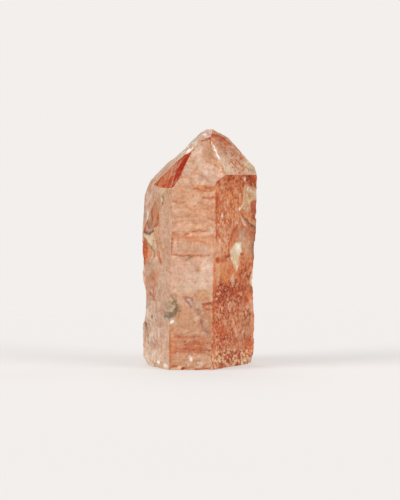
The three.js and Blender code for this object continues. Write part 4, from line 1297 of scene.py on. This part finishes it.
@dataclass(frozen=True)
class CloudyQuartz:
    """Cloudy quartz with iron oxide in it, as it grew, ground only on the point.

    Healed veils inside scatter the light, so the stone glows a little and shows no hard shadow on itself. The
    faces are glossy as grown, and matt and grainy where iron oxide covers them. Pits too fine to model take
    part of the shine, which is why it is less than a polished face's.
    """

    name: str = "cloudy red quartz"
    ior: float = 1.544
    glow: float = 0.2
    glow_depth: float = 0.7
    gloss: float = 0.2
    matt: float = 0.62
    clearness: float = 0.3
    shine: float = 0.3
    # Sizes of the fine patterns, in millimetres.
    cloud: float = 2.2
    grain: float = 1.1
    flaw: float = 0.9
    scuff: float = 3.0
    crust: float = 0.5
    line_spacing: float = 0.6
    bump_depth: float = 0.12
    # Iron oxide: its dark and pale grains and its growth lines, and how much of each shows at most.
    dark_iron: str = "#85300f"
    dark_share: float = 0.75
    pale_iron: str = "#e0ab80"
    pale_share: float = 0.6
    line_iron: str = "#bd7a58"
    line_share: float = 0.26
    # How deep each colour of light runs under the surface, as a share of glow_depth.
    glow_reach: tuple[float, float, float] = (1.0, 0.5, 0.35)

    def build(self) -> bpy.types.Material:
        """Builds the material from the painted attributes and finer patterns.

        Returns:
            The material.
        """
        material = bpy.data.materials.new(self.name)
        material.use_nodes = True
        tree = material.node_tree
        tree.nodes.clear()
        # The painted colour holds the stains, and also painted highlights and painted shade.
        painted_colour = add_node(tree, "ShaderNodeAttribute", attribute_name="stone_colour_and_painted_light").outputs["Color"]
        rust = add_node(tree, "ShaderNodeAttribute", attribute_name="rust").outputs["Fac"]
        clear = add_node(tree, "ShaderNodeAttribute", attribute_name="clear").outputs["Fac"]
        ladder = add_node(tree, "ShaderNodeAttribute", attribute_name="ladder").outputs["Fac"]
        metres = add_node(tree, "ShaderNodeTexCoord").outputs["Object"]
        place = add_node(
            tree, "ShaderNodeVectorMath", {"Vector": metres, "Scale": 1 / MM}, operation="SCALE"
        ).outputs[0]
        # The same place moved aside, for patterns that must not line up with the others.
        moved = add_node(tree, "ShaderNodeVectorMath", {0: place, 1: (31.0, 7.0, 13.0)}, operation="ADD").outputs[0]

        # Cloudy patches, and small lighter and darker flaws inside.
        billow = add_node(tree, "ShaderNodeTexNoise", {"Vector": place, "Scale": 1 / self.cloud, "Detail": 5.0})
        cloud = add_node(tree, "ShaderNodeMapRange", {0: billow.outputs[0], 1: 0.3, 2: 0.7, 3: 0.93, 4: 1.07})
        flecks = add_node(tree, "ShaderNodeTexNoise", {"Vector": moved, "Scale": 1 / self.flaw, "Detail": 2.0})
        fleck = add_node(tree, "ShaderNodeMapRange", {0: flecks.outputs[0], 1: 0.32, 2: 0.68, 3: 1.2, 4: 0.86})
        warmed = add_node(tree, "ShaderNodeGamma", {"Color": painted_colour, "Gamma": fleck.outputs[0]}).outputs[0]
        mottled = add_node(
            tree, "ShaderNodeVectorMath", {"Vector": warmed, "Scale": cloud.outputs[0]}, operation="SCALE"
        ).outputs[0]

        # Dark and pale grains of iron oxide where there is rust.
        grit = {"Scale": 1 / self.grain, "Detail": 3.0, "Roughness": 0.7}
        dark_grit = add_node(tree, "ShaderNodeTexNoise", {"Vector": place, **grit})
        dark = add_node(tree, "ShaderNodeMapRange", {0: dark_grit.outputs[0], 1: 0.52, 2: 0.66, 4: self.dark_share})
        dark_here = add_node(tree, "ShaderNodeMath", {0: dark.outputs[0], 1: rust}, operation="MULTIPLY")
        redder = add_node(
            tree, "ShaderNodeMix", {0: dark_here.outputs[0], 6: mottled, 7: linear(self.dark_iron)}, data_type="RGBA"
        ).outputs[2]
        pale_grit = add_node(tree, "ShaderNodeTexNoise", {"Vector": moved, **grit})
        pale = add_node(tree, "ShaderNodeMapRange", {0: pale_grit.outputs[0], 1: 0.55, 2: 0.66, 4: self.pale_share})
        pale_here = add_node(tree, "ShaderNodeMath", {0: pale.outputs[0], 1: rust}, operation="MULTIPLY")
        grained = add_node(
            tree, "ShaderNodeMix", {0: pale_here.outputs[0], 6: redder, 7: linear(self.pale_iron)}, data_type="RGBA"
        ).outputs[2]

        # Level growth lines.
        flat = (0.12, 0.12, 1 / self.line_spacing)
        level = add_node(tree, "ShaderNodeVectorMath", {0: place, 1: flat}, operation="MULTIPLY").outputs[0]
        growth = add_node(tree, "ShaderNodeTexNoise", {"Vector": level, "Scale": 1.0, "Detail": 2.0}).outputs[0]
        thread = add_node(tree, "ShaderNodeMapRange", {0: growth, 1: 0.6, 2: 0.7, 4: self.line_share})
        thread_here = add_node(tree, "ShaderNodeMath", {0: thread.outputs[0], 1: ladder}, operation="MULTIPLY")
        coloured = add_node(
            tree,
            "ShaderNodeMix",
            {0: thread_here.outputs[0], 6: grained, 7: linear(self.line_iron)},
            data_type="RGBA",
        ).outputs[2]

        # Glossy where the face is as it grew, matt where it is rusty or worn.
        scuffs = add_node(tree, "ShaderNodeTexNoise", {"Vector": place, "Scale": 1 / self.scuff, "Detail": 3.0})
        worn = add_node(tree, "ShaderNodeMapRange", {0: scuffs.outputs[0], 1: 0.35, 2: 0.65, 3: 0.0, 4: 0.12})
        matt_here = add_node(tree, "ShaderNodeMapRange", {0: rust, 1: 0.0, 2: 1.0, 3: self.gloss, 4: self.matt})
        roughness = add_node(tree, "ShaderNodeMath", {0: matt_here.outputs[0], 1: worn.outputs[0]}, operation="ADD")
        see_through = add_node(tree, "ShaderNodeMath", {0: clear, 1: self.clearness}, operation="MULTIPLY")

        # Growth lines and a crust where it is rusty, too fine for the mesh, as a bump.
        crumbs = {"Vector": place, "Scale": 1 / self.crust, "Detail": 4.0, "Roughness": 0.7}
        crust = add_node(tree, "ShaderNodeTexNoise", crumbs)
        crust_here = add_node(tree, "ShaderNodeMath", {0: crust.outputs[0], 1: rust}, operation="MULTIPLY")
        heights = add_node(
            tree, "ShaderNodeMath", {0: growth, 1: ladder, 2: crust_here.outputs[0]}, operation="MULTIPLY_ADD"
        ).outputs[0]
        bump = add_node(tree, "ShaderNodeBump", {"Height": heights, "Strength": 0.5, "Distance": self.bump_depth * MM})
        shader = add_node(
            tree,
            "ShaderNodeBsdfPrincipled",
            {
                "Base Color": coloured,
                "Roughness": roughness.outputs[0],
                "IOR": self.ior,
                "Specular IOR Level": self.shine,
                "Transmission Weight": see_through.outputs[0],
                "Subsurface Weight": self.glow,
                "Subsurface Radius": self.glow_reach,
                "Subsurface Scale": self.glow_depth * MM,
                "Normal": bump.outputs["Normal"],
            },
        )
        add_node(tree, "ShaderNodeOutputMaterial", {"Surface": shader.outputs[0]})
        return material


@dataclass(frozen=True)
class Relief:
    """Sizes of the fine surface, in millimetres."""

    line_spacing: float = 1.7
    line_depth: float = 0.1
    grain_size: float = 2.2
    grain_depth: float = 0.42
    ripple_spacing: float = 1.5
    ripple_depth: float = 0.07
    wear_depth: float = 0.2
    unevenness: float = 0.15

    def sizes(self) -> dict[str, float]:
        """Lists the sizes under the names that the tree's inputs have."""
        return {size.name.replace("_", " ").title(): getattr(self, size.name) for size in fields(self)}

    def tree(self) -> bpy.types.GeometryNodeTree:
        """Builds the node tree that casts the fine mesh onto the solid and roughens it.

        Returns:
            The tree, with its sizes as inputs.
        """
        tree = bpy.data.node_groups.new("quartz surface", "GeometryNodeTree")
        sockets = {"Geometry": "Geometry", "Solid": "Object", "Material": "Material"}
        for name, kind in (sockets | dict.fromkeys(self.sizes(), "Float")).items():
            tree.interface.new_socket(name, in_out="INPUT", socket_type="NodeSocket" + kind)
        tree.interface.new_socket("Geometry", in_out="OUTPUT", socket_type="NodeSocketGeometry")
        given = add_node(tree, "NodeGroupInput").outputs
        rough, ladder, edge, hollow = (
            add_node(tree, "GeometryNodeInputNamedAttribute", {"Name": name}, data_type="FLOAT").outputs[0]
            for name in ("rough", "ladder", "edge", "hollow")
        )

        # The casting: a ray from just outside each point, straight in, to the solid.
        outward = add_node(
            tree, "GeometryNodeInputNamedAttribute", {"Name": "outward"}, data_type="FLOAT_VECTOR"
        ).outputs[0]
        inward = add_node(tree, "ShaderNodeVectorMath", {"Vector": outward, "Scale": -1.0}, operation="SCALE")
        position = add_node(tree, "GeometryNodeInputPosition").outputs[0]
        lift = 0.3 * MM
        start = add_node(
            tree, "ShaderNodeVectorMath", {0: outward, 1: (lift,) * 3, 2: position}, operation="MULTIPLY_ADD"
        )
        solid = add_node(tree, "GeometryNodeObjectInfo", {"Object": given["Solid"]}, transform_space="RELATIVE")
        merged = add_node(
            tree, "GeometryNodeMergeByDistance", {"Geometry": solid.outputs["Geometry"], "Distance": 1e-6}
        )
        ray = add_node(
            tree,
            "GeometryNodeRaycast",
            {
                "Target Geometry": merged.outputs[0],
                "Source Position": start.outputs[0],
                "Ray Direction": inward.outputs[0],
                "Ray Length": 8 * MM,
            },
        )
        depth = add_node(tree, "ShaderNodeMath", {0: ray.outputs["Hit Distance"], 1: lift}, operation="SUBTRACT")
        noted = add_node(
            tree,
            "GeometryNodeStoreNamedAttribute",
            {"Geometry": given["Geometry"], "Name": "hollow", "Value": depth.outputs[0]},
            data_type="FLOAT",
            domain="POINT",
        )
        cast = add_node(
            tree,
            "GeometryNodeSetPosition",
            {
                "Geometry": noted.outputs[0],
                "Selection": ray.outputs["Is Hit"],
                "Position": ray.outputs["Hit Position"],
            },
        )
        place = add_node(
            tree, "ShaderNodeVectorMath", {"Vector": position, "Scale": 1 / MM}, operation="SCALE"
        ).outputs[0]

        # Growth lines: shelves that run level round the walls, half in and half out.
        per_line = add_node(tree, "ShaderNodeMath", {0: 1.0, 1: given["Line Spacing"]}, operation="DIVIDE")
        flat = add_node(tree, "ShaderNodeCombineXYZ", {0: 0.06, 1: 0.06, 2: per_line.outputs[0]})
        level = add_node(tree, "ShaderNodeVectorMath", {0: place, 1: flat.outputs[0]}, operation="MULTIPLY")
        growth = add_node(tree, "ShaderNodeTexNoise", {"Vector": level.outputs[0], "Scale": 1.0, "Detail": 2.0})
        shelf = add_node(tree, "ShaderNodeMapRange", {0: growth.outputs[0], 1: 0.42, 2: 0.62, 3: -0.5, 4: 0.5})
        shown = add_node(tree, "ShaderNodeMath", {0: shelf.outputs[0], 1: ladder}, operation="MULTIPLY")
        lines = add_node(tree, "ShaderNodeMath", {0: shown.outputs[0], 1: given["Line Depth"]}, operation="MULTIPLY")

        # Scallops of two sizes on the rough stretches.
        per_grain = add_node(tree, "ShaderNodeMath", {0: 1.0, 1: given["Grain Size"]}, operation="DIVIDE")
        per_small = add_node(tree, "ShaderNodeMath", {0: 2.6, 1: given["Grain Size"]}, operation="DIVIDE")
        broad = add_node(tree, "ShaderNodeTexVoronoi", {"Vector": place, "Scale": per_grain.outputs[0]}, feature="F1")
        small = add_node(tree, "ShaderNodeTexVoronoi", {"Vector": place, "Scale": per_small.outputs[0]}, feature="F1")
        bowls = add_node(
            tree,
            "ShaderNodeMath",
            {0: small.outputs["Distance"], 1: 0.4, 2: broad.outputs["Distance"]},
            operation="MULTIPLY_ADD",
        )
        scallops = add_node(tree, "ShaderNodeMath", {0: 0.6, 1: bowls.outputs[0]}, operation="SUBTRACT")
        broken = add_node(tree, "ShaderNodeMath", {0: scallops.outputs[0], 1: rough}, operation="MULTIPLY")
        grain = add_node(tree, "ShaderNodeMath", {0: broken.outputs[0], 1: given["Grain Depth"]}, operation="MULTIPLY")

        # Ripples inside the shell-shaped chips.
        swirl = add_node(tree, "ShaderNodeTexNoise", {"Vector": place, "Scale": 0.18, "Detail": 1.0})
        swing = add_node(tree, "ShaderNodeMath", {0: swirl.outputs[0], 1: 60 * math.pi}, operation="MULTIPLY")
        turns = add_node(tree, "ShaderNodeMath", {0: swing.outputs[0], 1: given["Ripple Spacing"]}, operation="DIVIDE")
        wave = add_node(tree, "ShaderNodeMath", {0: turns.outputs[0]}, operation="SINE")
        inside = add_node(tree, "ShaderNodeMapRange", {0: hollow, 2: 0.5 * MM, 4: 0.5})
        rippled = add_node(tree, "ShaderNodeMath", {0: wave.outputs[0], 1: inside.outputs[0]}, operation="MULTIPLY")
        ripple = add_node(
            tree, "ShaderNodeMath", {0: rippled.outputs[0], 1: given["Ripple Depth"]}, operation="MULTIPLY"
        )

        # Worn edges, and walls that are not quite flat.
        bite = add_node(tree, "ShaderNodeTexNoise", {"Vector": place, "Scale": 0.45, "Detail": 2.0})
        nibble = add_node(tree, "ShaderNodeMapRange", {0: bite.outputs[0], 1: 0.4, 2: 0.7, 3: 0.12, 4: 1.0})
        bitten = add_node(tree, "ShaderNodeMath", {0: nibble.outputs[0], 1: edge}, operation="MULTIPLY")
        wear = add_node(tree, "ShaderNodeMath", {0: bitten.outputs[0], 1: given["Wear Depth"]}, operation="MULTIPLY")
        swell = add_node(tree, "ShaderNodeTexNoise", {"Vector": place, "Scale": 0.12, "Detail": 2.0})
        swelling = add_node(tree, "ShaderNodeMath", {0: swell.outputs[0], 1: 0.5}, operation="SUBTRACT")
        uneven = add_node(
            tree, "ShaderNodeMath", {0: swelling.outputs[0], 1: given["Unevenness"]}, operation="MULTIPLY"
        )

        sunk = lines.outputs[0]
        for part in (grain, ripple, wear, uneven):
            sunk = add_node(tree, "ShaderNodeMath", {0: sunk, 1: part.outputs[0]}, operation="ADD").outputs[0]
        metres = add_node(tree, "ShaderNodeMath", {0: sunk, 1: MM}, operation="MULTIPLY")
        offset = add_node(
            tree,
            "ShaderNodeVectorMath",
            {"Vector": inward.outputs[0], "Scale": metres.outputs[0]},
            operation="SCALE",
        ).outputs[0]
        shaped = add_node(tree, "GeometryNodeSetPosition", {"Geometry": cast.outputs[0], "Offset": offset})
        real = add_node(tree, "GeometryNodeRealizeInstances", {0: shaped.outputs[0]})
        dressed = add_node(
            tree, "GeometryNodeSetMaterial", {"Geometry": real.outputs[0], "Material": given["Material"]}
        )
        add_node(tree, "NodeGroupOutput", {0: dressed.outputs[0]})
        return tree

    def apply(self, piece: bpy.types.Object, solid: bpy.types.Object, material: bpy.types.Material) -> bpy.types.Mesh:
        """Runs the tree on a piece.

        Args:
            piece: The object that holds the fine mesh.
            solid: The solid that the mesh is cast onto.
            material: The finish.

        Returns:
            The finished mesh.
        """
        tree = self.tree()
        modifier = piece.modifiers.new("surface", "NODES")
        modifier.node_group = tree
        values = {"Solid": solid, "Material": material, **self.sizes()}
        for item in tree.interface.items_tree:
            if item.item_type == "SOCKET" and item.in_out == "INPUT" and item.name in values:
                modifier[item.identifier] = values[item.name]
        evaluated = piece.evaluated_get(bpy.context.evaluated_depsgraph_get())
        mesh = bpy.data.meshes.new_from_object(evaluated)
        piece.modifiers.remove(modifier)
        return mesh


@dataclass
class Crystal:
    """The stone: a fine mesh on the crystal's flat faces, cast onto the solid, roughened and painted."""

    solid: bpy.types.Object
    relief: Relief = field(default_factory=Relief)
    finish: CloudyQuartz = field(default_factory=CloudyQuartz)
    normals: Array = field(init=False)
    offsets: Array = field(init=False)
    # The remesher's cell is about 0.39 mm at this share of its box, which gives about 92,000 quads.
    octree_depth: int = 8
    octree_share: float = 0.86
    # Within this distance of an edge, in millimetres, the casting direction turns from one face to the next.
    edge_turn: float = 2.0
    edge_wear_width: float = 1.1
    sharp_angle: float = 32

    def build(self) -> bpy.types.Object:
        """Makes the finished stone.

        Returns:
            The piece that stands for the solid.
        """
        self.normals = np.array([face.value.normal() for face in FACES])
        corners = np.array([v.co for v in self.solid.data.vertices]) / MM
        self.offsets = (corners @ self.normals.T).max(axis=0)
        mesh = self._remeshed(self._faceted())
        spots = self._spots(mesh)
        self._note_surface(mesh, spots)
        mesh.vertices.foreach_set("co", (spots * MM).ravel())
        piece = bpy.data.objects.new("quartz_stone", mesh)
        bpy.context.scene.collection.objects.link(piece)
        bpy.context.view_layer.update()
        rough = piece.data
        piece.data = self.relief.apply(piece, self.solid, self.finish.build())
        bpy.data.meshes.remove(rough)
        piece.data.name = "quartz_stone"
        self._level_foot(piece.data)
        Painter(piece.data, spots, self.normals, self.offsets).paint()
        for name in ("outward", "rough", "edge", "hollow"):
            piece.data.attributes.remove(piece.data.attributes[name])
        piece.data.polygons.foreach_set("use_smooth", [True] * len(piece.data.polygons))
        piece.data.set_sharp_from_angle(angle=math.radians(self.sharp_angle))
        log.info("%s: %d quads on the stone", piece.name, len(piece.data.polygons))
        return piece

    def _faceted(self) -> bpy.types.Object:
        """Cuts a block by every face's plane, which gives the crystal without its chips.

        Returns:
            The cut block, in millimetres.
        """
        block = bmesh.new()
        bmesh.ops.create_cube(block, size=4 * self.offsets.max())
        for normal, offset in zip(self.normals, self.offsets):
            everything = block.verts[:] + block.edges[:] + block.faces[:]
            cut = bmesh.ops.bisect_plane(
                block,
                geom=everything,
                dist=1e-5,
                plane_co=Vector(normal * offset),
                plane_no=Vector(normal),
                clear_outer=True,
            )
            rim = [part for part in cut["geom_cut"] if isinstance(part, bmesh.types.BMEdge)]
            if rim:
                bmesh.ops.contextual_create(block, geom=rim)
        bmesh.ops.remove_doubles(block, verts=block.verts, dist=1e-3)
        bmesh.ops.recalc_face_normals(block, faces=block.faces)
        mesh = bpy.data.meshes.new("faceted")
        block.to_mesh(mesh)
        block.free()
        faceted = bpy.data.objects.new("faceted", mesh)
        bpy.context.scene.collection.objects.link(faceted)
        return faceted

    def _remeshed(self, faceted: bpy.types.Object) -> bpy.types.Mesh:
        """Remeshes the faceted block finely with its edges kept sharp, and removes it.

        Args:
            faceted: The block.

        Returns:
            The fine mesh, in millimetres.
        """
        remesh = faceted.modifiers.new("fine", "REMESH")
        remesh.mode = "SHARP"
        remesh.octree_depth = self.octree_depth
        remesh.scale = self.octree_share
        evaluated = faceted.evaluated_get(bpy.context.evaluated_depsgraph_get())
        mesh = bpy.data.meshes.new_from_object(evaluated)
        coarse = faceted.data
        bpy.data.objects.remove(faceted)
        bpy.data.meshes.remove(coarse)
        return mesh

    @staticmethod
    def _spots(mesh: bpy.types.Mesh) -> Array:
        """Reads a mesh's points.

        Args:
            mesh: The mesh.

        Returns:
            Its points, one to a row.
        """
        flat = np.empty(len(mesh.vertices) * 3)
        mesh.vertices.foreach_get("co", flat)
        return flat.reshape(-1, 3)

    def _level_foot(self, mesh: bpy.types.Mesh) -> None:
        """Lifts the points that the relief pushed below the sawn foot back to the ground.

        Args:
            mesh: The finished mesh, which is changed.
        """
        spots = self._spots(mesh)
        spots[:, 2] = np.maximum(spots[:, 2], 0)
        mesh.vertices.foreach_set("co", spots.ravel())
        mesh.update()

    def _note_surface(self, mesh: bpy.types.Mesh, spots: Array) -> None:
        """Stores on each point what the relief needs: the way out, and how rough, lined and worn it is.

        Args:
            mesh: The fine mesh.
            spots: Its points, in millimetres.
        """
        depths = self.offsets - spots @ self.normals.T
        # Near an edge the way out turns from one face's normal to the next one's.
        outward = np.clip(1 - depths / self.edge_turn, 0, 1) ** 2 @ self.normals
        outward /= np.linalg.norm(outward, axis=1)[:, None]
        nearest = depths.argmin(axis=1)
        angles = np.sqrt(np.clip(1 - (self.normals @ self.normals.T) ** 2, 1e-4, 1))
        # How far each point is from the edges that its own face has with the others.
        away = depths / angles[nearest]
        away[np.arange(len(spots)), nearest] = np.inf
        edge = np.clip(1 - away.min(axis=1) / self.edge_wear_width, 0, 1) ** 2
        noise = LatticeNoise(SEED).layered(spots, 6.0)
        rough = np.zeros(len(spots))
        ladder = np.zeros(len(spots))
        for index, face in enumerate(FACES):
            here = nearest == index
            ladder[here] = LADDER.get(face, 0.0)
            for zone in (zone for zone in ROUGH_ZONES if zone.face is face):
                level = (spots[here] @ face.value.across() - zone.along) / (zone.wide / 2)
                upward = (spots[here, 2] - zone.height) / (zone.tall / 2)
                reach = np.maximum(abs(level), abs(upward)) + 0.6 * (noise[here] - 0.5)
                rough[here] = np.maximum(rough[here], zone.amount * (1 - ease(reach, 0.75, 1.1)))
        for name, values in {"rough": rough, "ladder": ladder, "edge": edge}.items():
            mesh.attributes.new(name, "FLOAT", "POINT").data.foreach_set("value", values)
        mesh.attributes.new("outward", "FLOAT_VECTOR", "POINT").data.foreach_set("vector", outward.ravel())


@dataclass(frozen=True)
class Wash:
    """Cloudy patches of a tint over the whole of every face, under its marks.

    seed and size, in millimetres, pick the noise. The tint shows where the noise is above start, fully from full on.
    """

    tint: Tint
    seed: int
    size: float
    start: float
    full: float
    strength: float
    spares_rust: bool = False


WASHES = (
    Wash(Tint.PETAL, 8, 5.0, 0.5, 0.72, 0.4, spares_rust=True),
    Wash(Tint.CLAY, 9, 3.0, 0.54, 0.74, 0.3),
    Wash(Tint.CREAM, 10, 2.2, 0.58, 0.76, 0.3),
)


@dataclass
class Painter:
    """Paints the stone's stains, and its painted highlights and shade, onto the corners of its mesh, face by face, so
    that edges stay crisp.

    bands_drift is how far the ground's bands of colour wander, in millimetres. chip_paleness is how much paler the
    floor of a chip is. fine_shade and broad_shade are how much light and dark two noises add.
    """

    mesh: bpy.types.Mesh
    spots: Array
    normals: Array
    offsets: Array
    bands_drift: float = 2.5
    chip_paleness: float = 0.12
    fine_shade: float = 0.22
    broad_shade: float = 0.14

    def paint(self) -> None:
        """Writes the colour, the rust and the clearness attributes."""
        count = len(self.mesh.loops)
        corner_point = np.empty(count, dtype=np.int32)
        self.mesh.loops.foreach_get("vertex_index", corner_point)
        sides = np.empty(len(self.mesh.polygons), dtype=np.int32)
        self.mesh.polygons.foreach_get("loop_total", sides)
        corner_quad = np.repeat(np.arange(len(sides)), sides)
        total = np.zeros((len(sides), 3))
        np.add.at(total, corner_quad, self.spots[corner_point])
        centres = total / sides[:, None]
        corner_face = (self.offsets - centres @ self.normals.T).argmin(axis=1)[corner_quad]
        hollow = np.empty(len(self.spots))
        self.mesh.attributes["hollow"].data.foreach_get("value", hollow)
        result = np.zeros((count, 5))
        for index, face in enumerate(FACES):
            corners = np.flatnonzero(corner_face == index)
            if len(corners):
                points, back = np.unique(corner_point[corners], return_inverse=True)
                result[corners] = self._face_values(face, self.spots[points], hollow[points] / MM)[back]
        colours = np.ones((count, 4))
        colours[:, :3] = light_of(np.clip(result[:, :3], 0, 1))
        self.mesh.color_attributes.new("stone_colour_and_painted_light", "FLOAT_COLOR", "CORNER").data.foreach_set(
            "color", colours.ravel()
        )
        for column, name in ((3, "rust"), (4, "clear")):
            values = np.ascontiguousarray(result[:, column])
            self.mesh.attributes.new(name, "FLOAT", "CORNER").data.foreach_set("value", values)

    def _face_values(self, face: Face, spots: Array, hollow: Array) -> Array:
        """Works out a face's colour, rust and clearness at some of its points.

        Args:
            face: The face.
            spots: The points, in millimetres.
            hollow: How deep each point lies under the flat face, in millimetres.

        Returns:
            Red, green, blue, rust and clearness, one row to a point.
        """
        paint = PAINTS[face]
        place = np.column_stack([spots @ face.value.across(), spots[:, 2]])
        if face is Face.FOOT:
            place = spots[:, :2]
        veils = Veils(spots, place)
        heights = [height for height, _ in paint.ground]
        tints = np.array([tint.values() for _, tint in paint.ground])
        level = place[:, 1] + self.bands_drift * veils.drift[:, 1]
        values = np.column_stack([np.interp(level, heights, tints[:, k]) for k in range(5)])
        for wash in WASHES:
            share = ease(veils.noise(wash.seed, wash.size, 3), wash.start, wash.full) * wash.strength
            values = self._over(values, wash.tint, share * (1 - values[:, 3]) if wash.spares_rust else share)
        for mark in self._growth_lines(face, paint) + list(paint.marks):
            values = self._over(values, mark.tint, mark.cover(veils))
        values = self._over(values, Tint.BONE, ease(hollow, 0.3, 1.2) * self.chip_paleness)
        fine, broad = veils.noise(11, 1.1, 2) - 0.5, veils.noise(12, 2.6, 2) - 0.5
        shade = 1 + self.fine_shade * fine + self.broad_shade * broad
        # Darker stone is warmer, so blue changes more than red.
        values[:, :3] *= shade[:, None] ** (0.7, 1.0, 1.3)
        return values

    @staticmethod
    def _over(values: Array, tint: Tint, share: Array) -> Array:
        """Lays a tint over the values by a share."""
        return values + share[:, None] * (tint.values() - values)

    @staticmethod
    def _growth_lines(face: Face, paint: Paint) -> list[Streak]:
        """Draws a wall's faint growth lines, which lie level, from a fixed seed.

        Args:
            face: The wall.
            paint: How it is coloured.

        Returns:
            Its growth lines.
        """
        draw = np.random.default_rng(SEED + FACES.index(face))
        streaks = []
        for _ in range(paint.lines):
            middle, height = draw.uniform(-10, 10), draw.uniform(3, 76)
            reach, slope = draw.uniform(2, 8), draw.uniform(-0.05, 0.05)
            ends = ((middle - reach, height - slope * reach), (middle + reach, height + slope * reach))
            streaks.append(Streak(ends, draw.uniform(0.4, 0.8), paint.line_tint, draw.uniform(0.1, 0.34)))
        return streaks


@dataclass(frozen=True)
class LightTable:
    """A round opal acrylic table top lit from below, so that only a faint shadow lies round the foot.

    Its surface is matt, and it shines as brightly as the wall behind it.
    """

    colour: str = "#f3efec"
    radius: float = 320
    matt_share: float = 0.5
    own_light: float = 0.42

    def build(self) -> bpy.types.Object:
        """Makes the table top.

        Returns:
            The table, marked as stage.
        """
        mesh = bpy.data.meshes.new("light_table")
        disc = bmesh.new()
        bmesh.ops.create_circle(disc, cap_ends=True, segments=128, radius=self.radius * MM)
        disc.to_mesh(mesh)
        disc.free()
        table = bpy.data.objects.new("light_table", mesh)
        bpy.context.scene.collection.objects.link(table)
        material = bpy.data.materials.new("opal acrylic")
        material.use_nodes = True
        tree = material.node_tree
        tree.nodes.clear()
        shader = add_node(
            tree,
            "ShaderNodeBsdfPrincipled",
            {
                "Base Color": (*(self.matt_share * share for share in linear(self.colour)[:3]), 1.0),
                "Roughness": 1.0,
                "Specular IOR Level": 0.0,
                "Emission Color": linear(self.colour),
                "Emission Strength": self.own_light,
            },
        )
        add_node(tree, "ShaderNodeOutputMaterial", {"Surface": shader.outputs[0]})
        mesh.materials.append(material)
        return table


@dataclass(frozen=True)
class Lamp:
    """A distant soft lamp. From an azimuth and an elevation in degrees, it shines at the stone."""

    name: str
    azimuth: float
    elevation: float
    power: float
    spread: float
    colour: str = "#ffffff"

    def build(self) -> bpy.types.Object:
        """Hangs the lamp.

        Returns:
            The lamp.
        """
        light = bpy.data.lights.new(self.name, "SUN")
        light.energy = self.power
        light.angle = math.radians(self.spread)
        light.color = linear(self.colour)[:3]
        lamp = bpy.data.objects.new(self.name, light)
        away = Plane(self.azimuth, self.elevation).normal()
        lamp.rotation_euler = Vector(away).to_track_quat("Z", "Y").to_euler()
        bpy.context.scene.collection.objects.link(lamp)
        return lamp


@dataclass(frozen=True)
class Studio:
    """A room lit from overhead and from the camera's side, four lamps, and an evenly lit wall to look at.

    Behind the stone the room is dim apart from that wall, so that deep colours stay deep.
    """

    colour: str = "#f3efec"
    grey: Colour = (0.8, 0.8, 0.8, 1.0)
    overhead: float = 0.6
    level: float = 0.5
    dim: float = 0.05
    # Between these shares of the way up, and of the way back, the room's light turns from none to all.
    overhead_ramp: tuple[float, float] = (0.35, 0.95)
    level_ramp: tuple[float, float] = (0.3, -0.7)
    lamps: tuple[Lamp, ...] = (
        Lamp("key_lamp", -157, 26, 2.05, 30),
        Lamp("fill_lamp", -28, 20, 1.75, 40),
        Lamp("edge_lamp", 32, 43, 0.2, 14),
        Lamp("back_lamp", 95, 56, 0.75, 40),
    )

    def build(self) -> None:
        """Lights the world and hangs the lamps."""
        scene = bpy.context.scene
        world = bpy.data.worlds.new("studio")
        world.use_nodes = True
        tree = world.node_tree
        tree.nodes.clear()
        way = add_node(tree, "ShaderNodeTexCoord").outputs["Generated"]
        parts = add_node(tree, "ShaderNodeSeparateXYZ", {0: way}).outputs
        above = add_node(
            tree,
            "ShaderNodeMapRange",
            {0: parts[2], 1: self.overhead_ramp[0], 2: self.overhead_ramp[1], 3: self.dim, 4: self.overhead},
            interpolation_type="SMOOTHSTEP",
        )
        before = add_node(
            tree,
            "ShaderNodeMapRange",
            {0: parts[1], 1: self.level_ramp[0], 2: self.level_ramp[1], 4: self.level},
            interpolation_type="SMOOTHSTEP",
        )
        power = add_node(tree, "ShaderNodeMath", {0: above.outputs[0], 1: before.outputs[0]}, operation="ADD")
        room = add_node(tree, "ShaderNodeBackground", {"Color": self.grey, "Strength": power.outputs[0]})
        wall = add_node(tree, "ShaderNodeBackground", {"Color": linear(self.colour), "Strength": 1.0})
        seen = add_node(tree, "ShaderNodeLightPath").outputs["Is Camera Ray"]
        mixed = add_node(tree, "ShaderNodeMixShader", {0: seen, 1: room.outputs[0], 2: wall.outputs[0]})
        add_node(tree, "ShaderNodeOutputWorld", {"Surface": mixed.outputs[0]})
        scene.world = world
        scene.view_settings.view_transform = "Standard"
        for lamp in self.lamps:
            lamp.build()


@dataclass(frozen=True)
class PhotoCamera:
    """The camera: where the photograph was taken from, in millimetres and degrees.

    focal_pixels is the focal length in pixels of the photograph, which is long_side high.
    """

    aside: float = 0.2
    target_height: float = 48.9
    distance: float = 750
    elevation: float = 2.4
    focal_pixels: float = 1775
    long_side: int = 500
    sensor: float = 36
    # The nearest and the furthest that the camera sees, in metres.
    near: float = 0.01
    far: float = 200

    def build(self) -> bpy.types.Object:
        """Places the camera and makes it the scene's own.

        Returns:
            The camera.
        """
        data = bpy.data.cameras.new("photo_camera")
        data.sensor_width = self.sensor
        data.lens = self.sensor * self.focal_pixels / self.long_side
        data.clip_start, data.clip_end = self.near, self.far
        camera = bpy.data.objects.new("photo_camera", data)
        away = Plane(-90, self.elevation).normal() * self.distance
        camera.location = Vector((self.aside + away[0], away[1], self.target_height + away[2])) * MM
        camera.rotation_euler = Vector(away).to_track_quat("Z", "Y").to_euler()
        bpy.context.scene.collection.objects.link(camera)
        bpy.context.scene.camera = camera
        return camera


def main() -> None:
    """Builds the camera, the stage and the stone in order, and ties the stone to the frame."""
    logging.basicConfig(level=logging.INFO, format="%(message)s")
    PhotoCamera().build()
    Studio().build()
    table = LightTable().build()
    log.info("%s: stage", table.name)
    stone = Crystal(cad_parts[NODE]).build()
    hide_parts(NODE)
    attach(stone, BODY)


if __name__ == "__main__":
    main()
